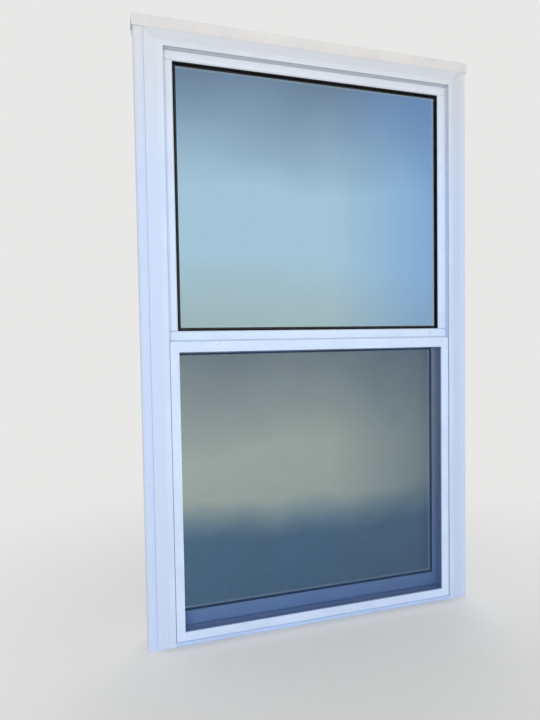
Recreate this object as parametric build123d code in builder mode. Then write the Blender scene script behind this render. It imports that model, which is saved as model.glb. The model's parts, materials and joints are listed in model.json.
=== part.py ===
from build123d import *
import os

# White vinyl single-hung window: a fixed upper light, a lower sash that slides up
# on spring balances, and a half insect screen outside the lower sash.
# Millimetres.  X runs along the width, -Y is the weather side, +Z is up, and the
# origin lies under the middle of the sill.

os.makedirs("parts", exist_ok=True)

# Overall frame
FRAME_W = 902.0          # outside width of the frame
FRAME_H = 1511.0         # outside height of the frame
WALL = 2.0               # wall of the hollow vinyl extrusions
GAP = 0.3                # gap between pieces that must move or be fitted
SNUG = 0.1               # radial play of a pin in its hole

# Frame section, as distances in from the outside edge (IN) and back from the lip (BACK)
STRIP_IN = 21.0          # flat outer strip
STRIP_BACK = 17.0        # the strip lies this far behind the lip
LINE_IN = 3.0            # hairline groove in the outer strip
LINE_SIZE = 1.2          # width of that groove
STEP_SIZE = 1.0          # width of the groove beside the sloped face
SLOPE_BACK = 10.0        # where the sloped face starts
SLOPE_IN = 51.0          # where the sloped face meets the lip
LIP_IN = 65.0            # inner edge of the lip
SLOT_BACK = 2.8          # slot in the inner face of the lip
SLOT_W = 2.2
SLOT_DEEP = 1.3
LEG_REACH = 9.0          # how far the rear glazing leg stands in past the lip
TRACK_IN = 50.0          # face of the jamb beside the sash
POCKET_IN = 24.0         # bottom of the balance pocket
POCKET_W = 24.0          # width of the balance pocket
MOUTH_W = 12.0           # width of the slot into that pocket

# Sill
NOSE_LOW = 9.3           # underside of the nose
NOSE_T = 9.7             # thickness of the nose, on which the screen stands
NOSE_EASE = 1.5          # eased edges of the nose
NOSE_DEPTH = 14.0        # depth of the screen seat
SLOPE_RISE = 11.0        # rise of the sloped sill
BED_FRONT = 3.0          # the sash bed starts this far in front of the sash
DAM_T = 4.0              # thickness of the dam
SEAM_W = 0.8             # trimmed weld seam across a lower corner
WEEP_L = 26.0            # length of a weep slot
WEEP_H = 4.0             # height of a weep slot
WEEP_X = 250.0           # weep slots lie this far from the middle

# Fixed upper light
BEAD_W = 23.0            # face of a glazing bead
BEAD_T = 4.0             # thickness of a glazing bead
BEAD_BEVEL = 2.5         # bevel along the bead's sight line
BEAD_LEG = 10.0          # snap leg of the bead
BEAD_LEG_T = 1.3         # thickness of the snap leg
GASKET_T = 4.0           # glazing gasket between bead and glass
GASKET_W = 7.0           # width of the gasket
GASKET_PROUD = 3.5       # part of the gasket that shows past the bead
GLASS_EDGE = 5.0         # gap round the edge of a glass unit
PANE_T = 3.0             # one sheet of glass
AIR = 10.0               # space between the two sheets
SPACER_W = 26.0          # spacer bar and edge seal of the fixed light
SASH_SPACER_W = 17.5     # and of the sash
TAPE_T = 1.0             # glazing tape behind the unit
BLOCK_L = 80.0           # setting block under the glass
BLOCK_X = 180.0          # setting blocks lie this far from the middle

# Fixed meeting rail
MEET_RISE = 1.0          # top of the rail, under the bottom bead, above half height
MEET_H = 20.5            # height of the rail's box
MEET_FRONT = 14.0        # front of the rail, behind the screen
MEET_LEG = 17.5          # rear glazing leg of the rail
HOOK_T = 1.4             # thickness of the interlock hooks
HOOK_OUT = 4.2           # reach of the interlock hooks
HOOK_UP = 8.0            # underside of the fixed hook above that of the rail
HOOK_H = 7.0             # height of the fixed hook
HOOK_CLEAR = 0.6         # free space inside the interlock
SASH_CLEAR = 0.8         # the sash passes this far behind the fixed hook

# Lower sash
SASH_FACE = 36.0         # face width of stiles and rails
SASH_SIDE = 3.0          # gap between sash and jamb face
SEAT = 2.0               # the seal's room between sill and sash
SASH_OVER = 3.5          # the sash stands this far above the meeting rail's box
SASH_BOX = 18.0          # hollow box part of a sash member
SASH_LEG = 3.0           # outside glazing leg
SASH_BEVEL = 2.0         # bevel on that leg
SASH_TAPE = 1.5          # black glazing tape
SASH_BEAD_W = 16.7       # inside glazing bead
SASH_BEAD_T = 7.5        # thickness of that bead
ROOM_LIP = 5.5           # frame past the sash on the room side
SASH_BEAD_BEVEL = 5.0    # slope of the inside bead
LIFT_OUT = 13.0          # how far the lift rail stands out
LIFT_T = 2.5             # thickness of the lift rail
LIFT_UP = 8.0            # upturned edge of the lift rail
LIFT_END = 60.0          # lift rail stops short of the sash's ends
LIFT_CLEAR = 1.5         # the lift rail's height above the dam

# Screen
SCREEN_BACK = 3.0        # front of the screen behind the lip
SCREEN_CLEAR = 1.2       # gap between the screen and the lips
SCREEN_T = 9.0           # thickness of the screen frame
SCREEN_BAR = 22.0        # side and bottom bars
SCREEN_HEAD = 26.0       # top bar
SCREEN_UNDER = 2.5       # top of the screen below the top of the meeting rail
SCREEN_WALL = 0.9        # rolled aluminium
SPLINE_W = 4.0           # spline
SPLINE_IN = 2.5          # spline's distance from the bar's inner edge
SPLINE_DEEP = 4.0        # depth of the rebate that holds it
MESH_T = 0.4             # mesh sheet
MESH_ROWS = 11
MESH_COLS = 10
MESH_HOLE = 3.0
RIDGE = 0.8              # woven ridges between the holes
KEY_L = 30.0             # leg of a corner key
TAB_X = 240.0            # pull tabs lie this far from the middle
TAB_L = 24.0
TAB_H = 12.0
TAB_T = 1.5

# Head expander
EXP_DOWN = 19.5          # front leg below the top of the frame
EXP_UP = 8.5             # top of the expander above the frame
EXP_SIDE = 4.5           # overhang at each side
EXP_T = 2.6              # thickness of its legs
EXP_REAR = 14.0          # height of the rear leg

# Balances
TUBE_R = 7.0
TUBE_BORE = 5.5
TUBE_IN = 35.0           # axis of the tube, in from the outside edge
TUBE_SHIFT = 3.0         # axis of the tube, back from the sash's middle plane
TUBE_DOWN = 47.0         # top of the tube's anchor below the top of the frame
TUBE_UNDER = 11.5        # lower end of the tube below the top of the meeting rail
ANCHOR_H = 14.0
ANCHOR_IN = 44.0         # face of the anchor block
ROD_R = 2.5
ROD_CLEAR = 3.0          # free space above the rod with the sash raised
SHOE_H = 28.0
SHOE_FACE = 47.4         # face of the shoe
PIVOT_R = 4.0
PIVOT_Z = 9.0            # pivot bar above the sash's underside
PIVOT_TIP = 33.0         # end of the bar, in from the outside edge
PIVOT_FOOT = 60.0        # block of the bar inside the bottom rail
STOP_DOWN = 75.1         # top of the travel stops below the top of the frame
STOP_H = 24.0
STOP_T = 10.0

# Tilt latches
LATCH_W = 14.0
LATCH_H = 12.0
LATCH_L = 66.0
LATCH_SKIN = 1.6
FLANGE_T = 1.6
FLANGE_W = 2.0
BOLT_OUT = 7.0           # bolt past the sash's edge
BOLT_L = 57.0
BOLT_STROKE = 12.0
BUTTON_L = 8.0
BUTTON_W = 5.0
BUTTON_H = 7.0
BUTTON_X = 26.0          # button's distance from the sash's edge

# Cam lock
LOCK_L = 64.0
LOCK_W = 22.0
LOCK_H = 10.0
LOCK_FRONT = 5.0         # lock's front behind the sash's front
LOCK_PIVOT = 13.0        # pivot behind the sash's front
LOCK_SCREW_X = 23.0      # screws lie this far from the pivot
LOCK_SCREW_Y = 3.0       # and this far behind it
CAM_R = 15.5
CAM_T = 4.6
CAM_FLOOR = 3.4
CAM_FROM = 115.0
CAM_TO = 180.0
POST_R = 4.0
HUB_R = 8.0
LEVER_L = 45.0
LEVER_T = 4.0
LEVER_ANGLE = 20.0
KEEPER_L = 44.0
KEEPER_T = 1.5
KEEPER_LIP = 4.5
KEEPER_H = 13.5
KEEPER_CLEAR = 1.0       # free space between cam and keeper
KEEPER_NOTCH = 32.0      # half length of the gap in the sash's hook
RIVET_X = 14.0
RIVET_R = 1.6
RIVET_HEAD = 3.0
SCREW_HEAD_T = 1.2       # thickness of a screw's head

# Seals and installation holes
PILE_W = 6.0
PILE_IN = 58.0
BULB_W = 6.0
SCREW_R = 2.4
SCREW_BACK = 54.5
SCREW_END = 255.5        # the installation screws lie this far from the frame's ends

# Values worked out from those above
HALF_W = FRAME_W / 2
MEET_TOP = FRAME_H / 2 + MEET_RISE
UNIT_T = 2 * PANE_T + AIR
UNIT_FRONT = STRIP_BACK + BEAD_T + GASKET_T
UNIT_REAR = UNIT_FRONT + UNIT_T
LEG_IN = LIP_IN + LEG_REACH
LEG_BACK = UNIT_REAR + TAPE_T
LEG_REAR = LEG_BACK + WALL
SASH_BACK = LEG_REAR + HOOK_OUT + SASH_CLEAR
SASH_T = SASH_LEG + SASH_TAPE + UNIT_T + SASH_BEAD_T
SASH_MID = SASH_BACK + SASH_T / 2
SASH_REAR = SASH_BACK + SASH_T
FRAME_D = SASH_REAR + ROOM_LIP
FRONT = -FRAME_D / 2
POCKET_FRONT = SASH_MID - POCKET_W / 2
POCKET_REAR = SASH_MID + POCKET_W / 2
MOUTH_FRONT = SASH_MID - MOUTH_W / 2
MOUTH_REAR = SASH_MID + MOUTH_W / 2
SASH_EDGE = TRACK_IN + SASH_SIDE
SASH_HALF = HALF_W - SASH_EDGE
BEAD_HALF = HALF_W - LIP_IN - GAP
SCREEN_HALF = HALF_W - LIP_IN - SCREEN_CLEAR
NOSE_TOP = NOSE_LOW + NOSE_T
SLOPE_LOW = NOSE_TOP + STEP_SIZE
SLOPE_HIGH = SLOPE_LOW + SLOPE_RISE
SILL_FLAT = SLOPE_HIGH + STEP_SIZE
BED_BACK = SASH_BACK - BED_FRONT
SASH_LOW = SILL_FLAT + SEAT
LIFT_LOW = SASH_LOW + SASH_BOX - WALL - LIFT_T
DAM_TOP = LIFT_LOW - LIFT_CLEAR
MEET_LOW = MEET_TOP - MEET_H
HOOK_Z = MEET_LOW + HOOK_UP
SASH_TOP = MEET_TOP + SASH_OVER
SCREEN_TOP = MEET_TOP - SCREEN_UNDER
EXP_LOW = FRAME_H - EXP_DOWN
EXP_TOP = FRAME_H + EXP_UP
TUBE_TOP = FRAME_H - TUBE_DOWN
TUBE_LOW = MEET_TOP - TUBE_UNDER
STOP_LOW = FRAME_H - STOP_DOWN - STOP_H
TRAVEL = STOP_LOW - GAP - FLANGE_T - SASH_TOP
ROD_TOP = TUBE_TOP - ANCHOR_H - TRAVEL - ROD_CLEAR
CAM_LOW = SASH_TOP + CAM_FLOOR
KEEPER_TOP = CAM_LOW + CAM_T + KEEPER_CLEAR + FLANGE_T
KEEPER_LOW = KEEPER_TOP - KEEPER_H
RIVET_Z = (MEET_TOP + MEET_LEG + KEEPER_LOW) / 2


def depth(back):
    """Y of a point that lies this far behind the front lip."""
    return FRONT + back


def stile_plane(x, low, back=0.0):
    """Section plane of an upright: x runs in from its left edge, y runs back."""
    return Plane(origin=(x, depth(back), low), x_dir=(1, 0, 0), z_dir=(0, 0, 1))


def hanging_plane(x, top, back=0.0):
    """Section plane of an upper level member: x runs down, y runs back."""
    return Plane(origin=(x, depth(back), top), x_dir=(0, 0, -1), z_dir=(1, 0, 0))


def standing_plane(x, low, back=0.0):
    """Section plane of a lower level member: x runs up, y runs back."""
    return Plane(origin=(x, depth(back), low), x_dir=(0, 0, 1), z_dir=(-1, 0, 0))


def rail_plane(x):
    """Section plane of a level piece: x runs back from the lip, y is the height."""
    return Plane(origin=(x, FRONT, 0), x_dir=(0, 1, 0), z_dir=(1, 0, 0))


def top_mitre(side):
    """Plane of a top mitre, with its front towards the head."""
    return Plane(origin=(side * HALF_W, 0, FRAME_H), z_dir=(-side, 0, 1))


def polygon(*points, mode=Mode.ADD):
    """Face with straight sides through the points given."""
    Polygon(*points, align=None, mode=mode)


def block(low, high, mode=Mode.ADD):
    """Box between two corners, given as (x, y, z)."""
    size = [b - a for a, b in zip(low, high)]
    middle = [(a + b) / 2 for a, b in zip(low, high)]
    with Locations(Location(tuple(middle))):
        Box(*size, mode=mode)


def finish(builder, name):
    """Name a piece and write it out."""
    builder.part.label = name
    export_step(builder.part, f"parts/{name}.step")


def frame_section():
    """Multi-chamber section shared by the head and both jambs."""
    line = LINE_SIZE / 2
    slot_rear = SLOT_BACK + SLOT_W
    polygon(
        (0, STRIP_BACK),
        (LINE_IN - line, STRIP_BACK),
        (LINE_IN, STRIP_BACK + line),
        (LINE_IN + line, STRIP_BACK),
        (STRIP_IN, STRIP_BACK),
        (STRIP_IN, STRIP_BACK + STEP_SIZE),
        (STRIP_IN + STEP_SIZE, STRIP_BACK + STEP_SIZE),
        (STRIP_IN + STEP_SIZE, SLOPE_BACK),
        (SLOPE_IN, 0),
        (LIP_IN, 0),
        (LIP_IN, SLOT_BACK),
        (LIP_IN - SLOT_DEEP, SLOT_BACK),
        (LIP_IN - SLOT_DEEP, slot_rear),
        (LIP_IN, slot_rear),
        (LIP_IN, LEG_BACK),
        (LEG_IN, LEG_BACK),
        (LEG_IN, LEG_REAR),
        (TRACK_IN, LEG_REAR),
        (TRACK_IN, MOUTH_FRONT),
        (TRACK_IN - WALL, MOUTH_FRONT),
        (TRACK_IN - WALL, POCKET_FRONT),
        (POCKET_IN, POCKET_FRONT),
        (POCKET_IN, POCKET_REAR),
        (TRACK_IN - WALL, POCKET_REAR),
        (TRACK_IN - WALL, MOUTH_REAR),
        (TRACK_IN, MOUTH_REAR),
        (TRACK_IN, FRAME_D),
        (0, FRAME_D),
    )
    web = POCKET_IN - WALL
    # Box behind the sloped face and the lip
    polygon(
        (POCKET_IN, SLOPE_BACK + WALL),
        (SLOPE_IN, WALL),
        (LIP_IN - WALL - SLOT_DEEP, WALL),
        (LIP_IN - WALL - SLOT_DEEP, slot_rear + WALL),
        (LIP_IN - WALL, slot_rear + WALL),
        (LIP_IN - WALL, LEG_BACK),
        (POCKET_IN, LEG_BACK),
        mode=Mode.SUBTRACT,
    )
    # Narrow chamber in front of the balance pocket
    chamber(POCKET_IN, LEG_REAR, TRACK_IN - WALL, POCKET_FRONT - WALL)
    # Outer chambers, with a web level with the front of the pocket
    chamber(WALL, STRIP_BACK + 2 * WALL, web - WALL, POCKET_FRONT - WALL)
    chamber(WALL, POCKET_FRONT, web, FRAME_D - WALL)
    # Chamber on the room side of the pocket
    chamber(POCKET_IN, POCKET_REAR + WALL, TRACK_IN - WALL, FRAME_D - WALL)


def chamber(x_low, y_low, x_high, y_high):
    """Rectangular hollow in a section."""
    with Locations(((x_low + x_high) / 2, (y_low + y_high) / 2)):
        Rectangle(x_high - x_low, y_high - y_low, mode=Mode.SUBTRACT)


def cope(low, high):
    """Cut a level piece to the inside faces of both jambs."""
    left = Plane(origin=(-HALF_W, FRONT, low), x_dir=(1, 0, 0), z_dir=(0, 0, 1))
    right = Plane(origin=(HALF_W, FRONT, high), x_dir=(-1, 0, 0), z_dir=(0, 0, -1))
    for plane in (left, right):
        with BuildSketch(plane) as outline:
            polygon(
                (-FRAME_D, -FRAME_D),
                (LIP_IN, -FRAME_D),
                (LIP_IN, LEG_BACK),
                (LEG_IN, LEG_BACK),
                (LEG_IN, LEG_REAR),
                (TRACK_IN, LEG_REAR),
                (TRACK_IN, 2 * FRAME_D),
                (-FRAME_D, 2 * FRAME_D),
            )
        extrude(outline.sketch, amount=high - low, mode=Mode.SUBTRACT)


def jamb_foot():
    """Cut the left jamb's lip off level with the nose, and close its lower end."""
    block(
        (-HALF_W + STRIP_IN, FRONT - GAP, -GAP),
        (-HALF_W + LIP_IN + GAP, depth(STRIP_BACK), NOSE_LOW),
        mode=Mode.SUBTRACT,
    )
    block(
        (-HALF_W + STRIP_IN, depth(STRIP_BACK), 0),
        (-HALF_W + LIP_IN, depth(STRIP_BACK + WALL), NOSE_LOW + WALL),
    )
    with BuildSketch(stile_plane(-HALF_W, NOSE_LOW)) as cap:
        polygon(
            (STRIP_IN + STEP_SIZE, STRIP_BACK + WALL),
            (STRIP_IN + STEP_SIZE, SLOPE_BACK),
            (SLOPE_IN, 0),
            (LIP_IN - SLOT_DEEP, 0),
            (LIP_IN - SLOT_DEEP, STRIP_BACK + WALL),
        )
    extrude(cap.sketch, amount=WALL)
    # Weld seam across the corner of the outer strip
    strip = Plane(origin=(-HALF_W, depth(STRIP_BACK), 0), x_dir=(1, 0, 0), z_dir=(0, -1, 0))
    with BuildSketch(strip) as seam:
        polygon((0, 0), (SEAM_W, 0), (STRIP_IN + SEAM_W, NOSE_LOW), (STRIP_IN, NOSE_LOW))
    extrude(seam.sketch, amount=-SEAM_W, mode=Mode.SUBTRACT)


def both(build, name):
    """Write a left-hand piece and its right-hand twin."""
    finish(build, "left_" + name)
    with BuildPart() as twin:
        mirror(build.part, about=Plane.YZ)
    finish(twin, "right_" + name)


# Frame: four welded extrusions

with BuildPart() as left_jamb:
    with BuildSketch(stile_plane(-HALF_W, 0)):
        frame_section()
    extrude(amount=FRAME_H)
    split(bisect_by=top_mitre(-1), keep=Keep.BOTTOM)
    jamb_foot()
    # Installation screws pass through the pocket lip, the pocket and the outer wall
    with Locations(
        Location((-HALF_W, depth(SCREW_BACK), SCREW_END), (0, 90, 0)),
        Location((-HALF_W, depth(SCREW_BACK), FRAME_H - SCREW_END), (0, 90, 0)),
    ):
        Cylinder(SCREW_R, 2 * (TRACK_IN + SNUG), mode=Mode.SUBTRACT)
    # Pilot hole of the screw that holds the balance tube
    with Locations(
        Location(
            (-HALF_W + POCKET_IN, depth(SASH_MID + TUBE_SHIFT), TUBE_TOP - ANCHOR_H / 2),
            (0, 90, 0),
        )
    ):
        Cylinder(RIVET_R, 4 * WALL, mode=Mode.SUBTRACT)
both(left_jamb, "jamb")

with BuildPart() as frame_head:
    with BuildSketch(hanging_plane(-HALF_W, FRAME_H)):
        frame_section()
    extrude(amount=FRAME_W)
    split(bisect_by=top_mitre(-1), keep=Keep.TOP)
    split(bisect_by=top_mitre(1), keep=Keep.TOP)
finish(frame_head, "frame_head")

with BuildPart() as frame_sill:
    with BuildSketch(rail_plane(-HALF_W)):
        polygon(
            (STRIP_BACK, 0),
            (STRIP_BACK, NOSE_LOW),
            (NOSE_EASE, NOSE_LOW),
            (0, NOSE_LOW + NOSE_EASE),
            (0, NOSE_TOP - NOSE_EASE),
            (NOSE_EASE, NOSE_TOP),
            (NOSE_DEPTH, NOSE_TOP),
            (NOSE_DEPTH, SLOPE_LOW),
            (BED_BACK, SLOPE_HIGH),
            (BED_BACK, SILL_FLAT),
            (FRAME_D - DAM_T, SILL_FLAT),
            (FRAME_D - DAM_T, DAM_TOP),
            (FRAME_D, DAM_TOP),
            (FRAME_D, 0),
        )
        # Chambers of the nose, under the slope and under the bed
        chamber(WALL, NOSE_LOW + WALL, STRIP_BACK, NOSE_TOP - WALL)
        web = LEG_REAR - WALL
        fall = SLOPE_RISE / (BED_BACK - NOSE_DEPTH)
        polygon(
            (STRIP_BACK + WALL, WALL),
            (web, WALL),
            (web, SLOPE_LOW + fall * (web - NOSE_DEPTH) - WALL),
            (STRIP_BACK + WALL, SLOPE_LOW + fall * (STRIP_BACK + WALL - NOSE_DEPTH) - WALL),
            mode=Mode.SUBTRACT,
        )
        chamber(BED_BACK, WALL, FRAME_D - WALL, SILL_FLAT - WALL)
    extrude(amount=FRAME_W)
    # Weep slots drain the sill chamber under the nose
    with Locations(
        (-WEEP_X, depth(STRIP_BACK + WALL / 2), NOSE_LOW / 2 + WALL / 2),
        (WEEP_X, depth(STRIP_BACK + WALL / 2), NOSE_LOW / 2 + WALL / 2),
    ):
        Box(WEEP_L, 2 * WALL, WEEP_H, mode=Mode.SUBTRACT)
    cope(-WALL, 2 * DAM_TOP)
finish(frame_sill, "frame_sill")

with BuildPart() as head_expander:
    web_low = EXP_TOP - EXP_T
    with BuildSketch(rail_plane(-HALF_W - EXP_SIDE)):
        polygon(
            (STRIP_BACK - EXP_T, EXP_LOW),
            (STRIP_BACK - EXP_T, EXP_TOP),
            (FRAME_D + EXP_T, EXP_TOP),
            (FRAME_D + EXP_T, EXP_TOP - EXP_REAR),
            (FRAME_D, EXP_TOP - EXP_REAR),
            (FRAME_D, web_low),
            (STRIP_BACK, web_low),
            (STRIP_BACK, EXP_LOW),
        )
    extrude(amount=FRAME_W + 2 * EXP_SIDE)
    fillet(head_expander.edges().filter_by(Axis.X).group_by(Axis.Z)[-1], WALL / 2)
finish(head_expander, "head_expander")

with BuildPart() as meeting_rail:
    with BuildSketch(rail_plane(-HALF_W)):
        polygon(
            (MEET_FRONT, MEET_LOW),
            (MEET_FRONT, MEET_TOP),
            (LEG_BACK, MEET_TOP),
            (LEG_BACK, MEET_TOP + MEET_LEG),
            (LEG_REAR, MEET_TOP + MEET_LEG),
            (LEG_REAR, HOOK_Z + HOOK_T),
            (LEG_REAR + HOOK_OUT - HOOK_T, HOOK_Z + HOOK_T),
            (LEG_REAR + HOOK_OUT - HOOK_T, HOOK_Z + HOOK_H),
            (LEG_REAR + HOOK_OUT, HOOK_Z + HOOK_H),
            (LEG_REAR + HOOK_OUT, HOOK_Z),
            (LEG_REAR, HOOK_Z),
            (LEG_REAR, MEET_LOW),
        )
        chamber(MEET_FRONT + WALL, MEET_LOW + WALL, LEG_REAR - WALL, MEET_TOP - WALL)
    extrude(amount=FRAME_W)
    cope(MEET_LOW - WALL, MEET_TOP + 2 * MEET_LEG)
    # Holes for the keeper's rivets
    with Locations(
        Location((-RIVET_X, depth(LEG_BACK), RIVET_Z), (90, 0, 0)),
        Location((RIVET_X, depth(LEG_BACK), RIVET_Z), (90, 0, 0)),
    ):
        Cylinder(RIVET_R + SNUG, 4 * WALL, mode=Mode.SUBTRACT)
finish(meeting_rail, "meeting_rail")

# Fixed upper light: insulating glass, gasket and four snap-in beads

UNIT_HALF = HALF_W - LIP_IN - GLASS_EDGE
UNIT_LOW = MEET_TOP + GLASS_EDGE
UNIT_HIGH = FRAME_H - LIP_IN - GLASS_EDGE
SIGHT_HALF = HALF_W - LIP_IN - BEAD_W
SIGHT_LOW = MEET_TOP + BEAD_W
SIGHT_HIGH = FRAME_H - LIP_IN - BEAD_W


def bead_section():
    """Bead with a bevelled sight line and a snap leg; x runs in, y runs back."""
    edge = GAP
    polygon(
        (edge, STRIP_BACK),
        (BEAD_W - BEAD_BEVEL, STRIP_BACK),
        (BEAD_W, STRIP_BACK + BEAD_BEVEL),
        (BEAD_W, STRIP_BACK + BEAD_T),
        (edge + BEAD_LEG_T, STRIP_BACK + BEAD_T),
        (edge + BEAD_LEG_T, STRIP_BACK + BEAD_LEG),
        (edge, STRIP_BACK + BEAD_LEG),
    )


with BuildPart() as top_glazing_bead:
    with BuildSketch(hanging_plane(-BEAD_HALF, FRAME_H - LIP_IN)):
        bead_section()
    extrude(amount=2 * BEAD_HALF)
finish(top_glazing_bead, "top_glazing_bead")

with BuildPart() as bottom_glazing_bead:
    with BuildSketch(standing_plane(BEAD_HALF, MEET_TOP)):
        bead_section()
    extrude(amount=2 * BEAD_HALF)
finish(bottom_glazing_bead, "bottom_glazing_bead")

with BuildPart() as left_glazing_bead:
    with BuildSketch(stile_plane(-HALF_W + LIP_IN, SIGHT_LOW + GAP)):
        bead_section()
    extrude(amount=SIGHT_HIGH - SIGHT_LOW - 2 * GAP)
both(left_glazing_bead, "glazing_bead")


def sheet(half, low, high, front, thickness):
    """One flat sheet that stands upright."""
    block((-half, depth(front), low), (half, depth(front + thickness), high))


def ring(half, low, high, width, front, thickness):
    """Rectangular ring that stands upright; width is measured inwards."""
    plane = Plane(origin=(0, depth(front), 0), x_dir=(1, 0, 0), z_dir=(0, -1, 0))
    with BuildSketch(plane) as outline:
        with Locations((0, (low + high) / 2)):
            Rectangle(2 * half, high - low)
            Rectangle(2 * (half - width), high - low - 2 * width, mode=Mode.SUBTRACT)
    extrude(outline.sketch, amount=-thickness)


with BuildPart() as upper_outer_pane:
    sheet(UNIT_HALF, UNIT_LOW, UNIT_HIGH, UNIT_FRONT, PANE_T)
finish(upper_outer_pane, "upper_outer_pane")

with BuildPart() as upper_inner_pane:
    sheet(UNIT_HALF, UNIT_LOW, UNIT_HIGH, UNIT_FRONT + PANE_T + AIR, PANE_T)
finish(upper_inner_pane, "upper_inner_pane")

with BuildPart() as upper_spacer:
    ring(UNIT_HALF, UNIT_LOW, UNIT_HIGH, SPACER_W, UNIT_FRONT + PANE_T, AIR)
finish(upper_spacer, "upper_spacer")

with BuildPart() as upper_gasket:
    reach = GASKET_W - GASKET_PROUD
    ring(
        SIGHT_HALF + reach,
        SIGHT_LOW - reach,
        SIGHT_HIGH + reach,
        GASKET_W,
        STRIP_BACK + BEAD_T,
        GASKET_T,
    )
finish(upper_gasket, "upper_gasket")

with BuildPart() as upper_glazing_tape:
    ring(UNIT_HALF, UNIT_LOW, UNIT_HIGH, LEG_REACH - GLASS_EDGE, UNIT_REAR, TAPE_T)
finish(upper_glazing_tape, "upper_glazing_tape")


def setting_blocks(low, high, front, rear):
    """Pair of blocks that carry a glass unit on its lower edge."""
    for side in (-1, 1):
        x = side * BLOCK_X
        block(
            (x - BLOCK_L / 2, depth(front), low),
            (x + BLOCK_L / 2, depth(rear), high),
        )


with BuildPart() as upper_setting_blocks:
    setting_blocks(MEET_TOP, UNIT_LOW, STRIP_BACK + BEAD_LEG + GAP, UNIT_REAR)
finish(upper_setting_blocks, "upper_setting_blocks")

# Insect screen: four rolled bars with mitred corners, keys, mesh and spline

SCREEN_LOW = NOSE_TOP
SCREEN_REAR = SCREEN_BACK + SCREEN_T


def screen_section(width):
    """Rolled bar; x runs in from the bar's outer edge, y runs back."""
    groove_low = width - SPLINE_IN - SPLINE_W
    with Locations((width / 2, SCREEN_BACK + SCREEN_T / 2)):
        RectangleRounded(width, SCREEN_T, SCREEN_WALL)
    # Rebate for the mesh and its spline
    chamber(groove_low, SCREEN_REAR - SPLINE_DEEP, width + GAP, SCREEN_REAR + GAP)
    chamber(
        SCREEN_WALL,
        SCREEN_BACK + SCREEN_WALL,
        groove_low - SCREEN_WALL,
        SCREEN_REAR - SCREEN_WALL,
    )


def screen_mitre(side, low):
    """Mitre through a screen corner; its front faces the level bar."""
    height = SCREEN_LOW if low else SCREEN_TOP
    width = SCREEN_BAR if low else SCREEN_HEAD
    up = -SCREEN_BAR if low else SCREEN_BAR
    return Plane(origin=(side * SCREEN_HALF, 0, height), z_dir=(-side * width, 0, up))


with BuildPart() as left_screen_bar:
    with BuildSketch(stile_plane(-SCREEN_HALF, SCREEN_LOW)):
        screen_section(SCREEN_BAR)
    extrude(amount=SCREEN_TOP - SCREEN_LOW)
    split(bisect_by=screen_mitre(-1, True), keep=Keep.BOTTOM)
    split(bisect_by=screen_mitre(-1, False), keep=Keep.BOTTOM)
finish(left_screen_bar, "screen_left_bar")

with BuildPart() as right_screen_bar:
    mirror(left_screen_bar.part, about=Plane.YZ)
finish(right_screen_bar, "screen_right_bar")

with BuildPart() as screen_top_bar:
    with BuildSketch(hanging_plane(-SCREEN_HALF, SCREEN_TOP)):
        screen_section(SCREEN_HEAD)
    extrude(amount=2 * SCREEN_HALF)
    split(bisect_by=screen_mitre(-1, False), keep=Keep.TOP)
    split(bisect_by=screen_mitre(1, False), keep=Keep.TOP)
finish(screen_top_bar, "screen_top_bar")

with BuildPart() as screen_bottom_bar:
    with BuildSketch(standing_plane(SCREEN_HALF, SCREEN_LOW)):
        screen_section(SCREEN_BAR)
    extrude(amount=2 * SCREEN_HALF)
    split(bisect_by=screen_mitre(-1, True), keep=Keep.TOP)
    split(bisect_by=screen_mitre(1, True), keep=Keep.TOP)
finish(screen_bottom_bar, "screen_bottom_bar")

# Mesh sheet lies in the spline grooves and behind the bars
MESH_BACK = SCREEN_REAR - SPLINE_DEEP
OPEN_HALF = SCREEN_HALF - SCREEN_BAR
OPEN_LOW = SCREEN_LOW + SCREEN_BAR
OPEN_HIGH = SCREEN_TOP - SCREEN_HEAD


with BuildPart() as screen_mesh:
    grip = SPLINE_IN + SPLINE_W - GAP
    half = OPEN_HALF + grip
    low = OPEN_LOW - grip
    high = OPEN_HIGH + grip
    block((-half, depth(MESH_BACK), low), (half, depth(MESH_BACK + MESH_T), high))
    pitch_x = 2 * OPEN_HALF / MESH_COLS
    pitch_z = (OPEN_HIGH - OPEN_LOW) / MESH_ROWS
    middle = (OPEN_LOW + OPEN_HIGH) / 2
    # Gaps of the weave
    with Locations(Plane(origin=(0, depth(MESH_BACK), middle), x_dir=(1, 0, 0), z_dir=(0, -1, 0))):
        with GridLocations(pitch_x, pitch_z, MESH_COLS, MESH_ROWS):
            Box(MESH_HOLE, MESH_HOLE, 4 * MESH_T, mode=Mode.SUBTRACT)
    # Upright wires stand proud in front, level wires behind
    for column in range(1, MESH_COLS):
        x = -OPEN_HALF + column * pitch_x
        block(
            (x - RIDGE / 2, depth(MESH_BACK - MESH_T / 2), OPEN_LOW),
            (x + RIDGE / 2, depth(MESH_BACK + MESH_T / 2), OPEN_HIGH),
        )
    for row in range(1, MESH_ROWS):
        z = OPEN_LOW + row * pitch_z
        block(
            (-OPEN_HALF, depth(MESH_BACK + MESH_T / 2), z - RIDGE / 2),
            (OPEN_HALF, depth(MESH_BACK + 3 * MESH_T / 2), z + RIDGE / 2),
        )
finish(screen_mesh, "screen_mesh")

with BuildPart() as screen_spline:
    inner = SPLINE_IN + GAP
    ring(
        OPEN_HALF + inner + SPLINE_W - 2 * GAP,
        OPEN_LOW - inner - SPLINE_W + 2 * GAP,
        OPEN_HIGH + inner + SPLINE_W - 2 * GAP,
        SPLINE_W - 2 * GAP,
        MESH_BACK + MESH_T,
        SPLINE_DEEP - MESH_T,
    )
finish(screen_spline, "screen_spline")

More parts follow.
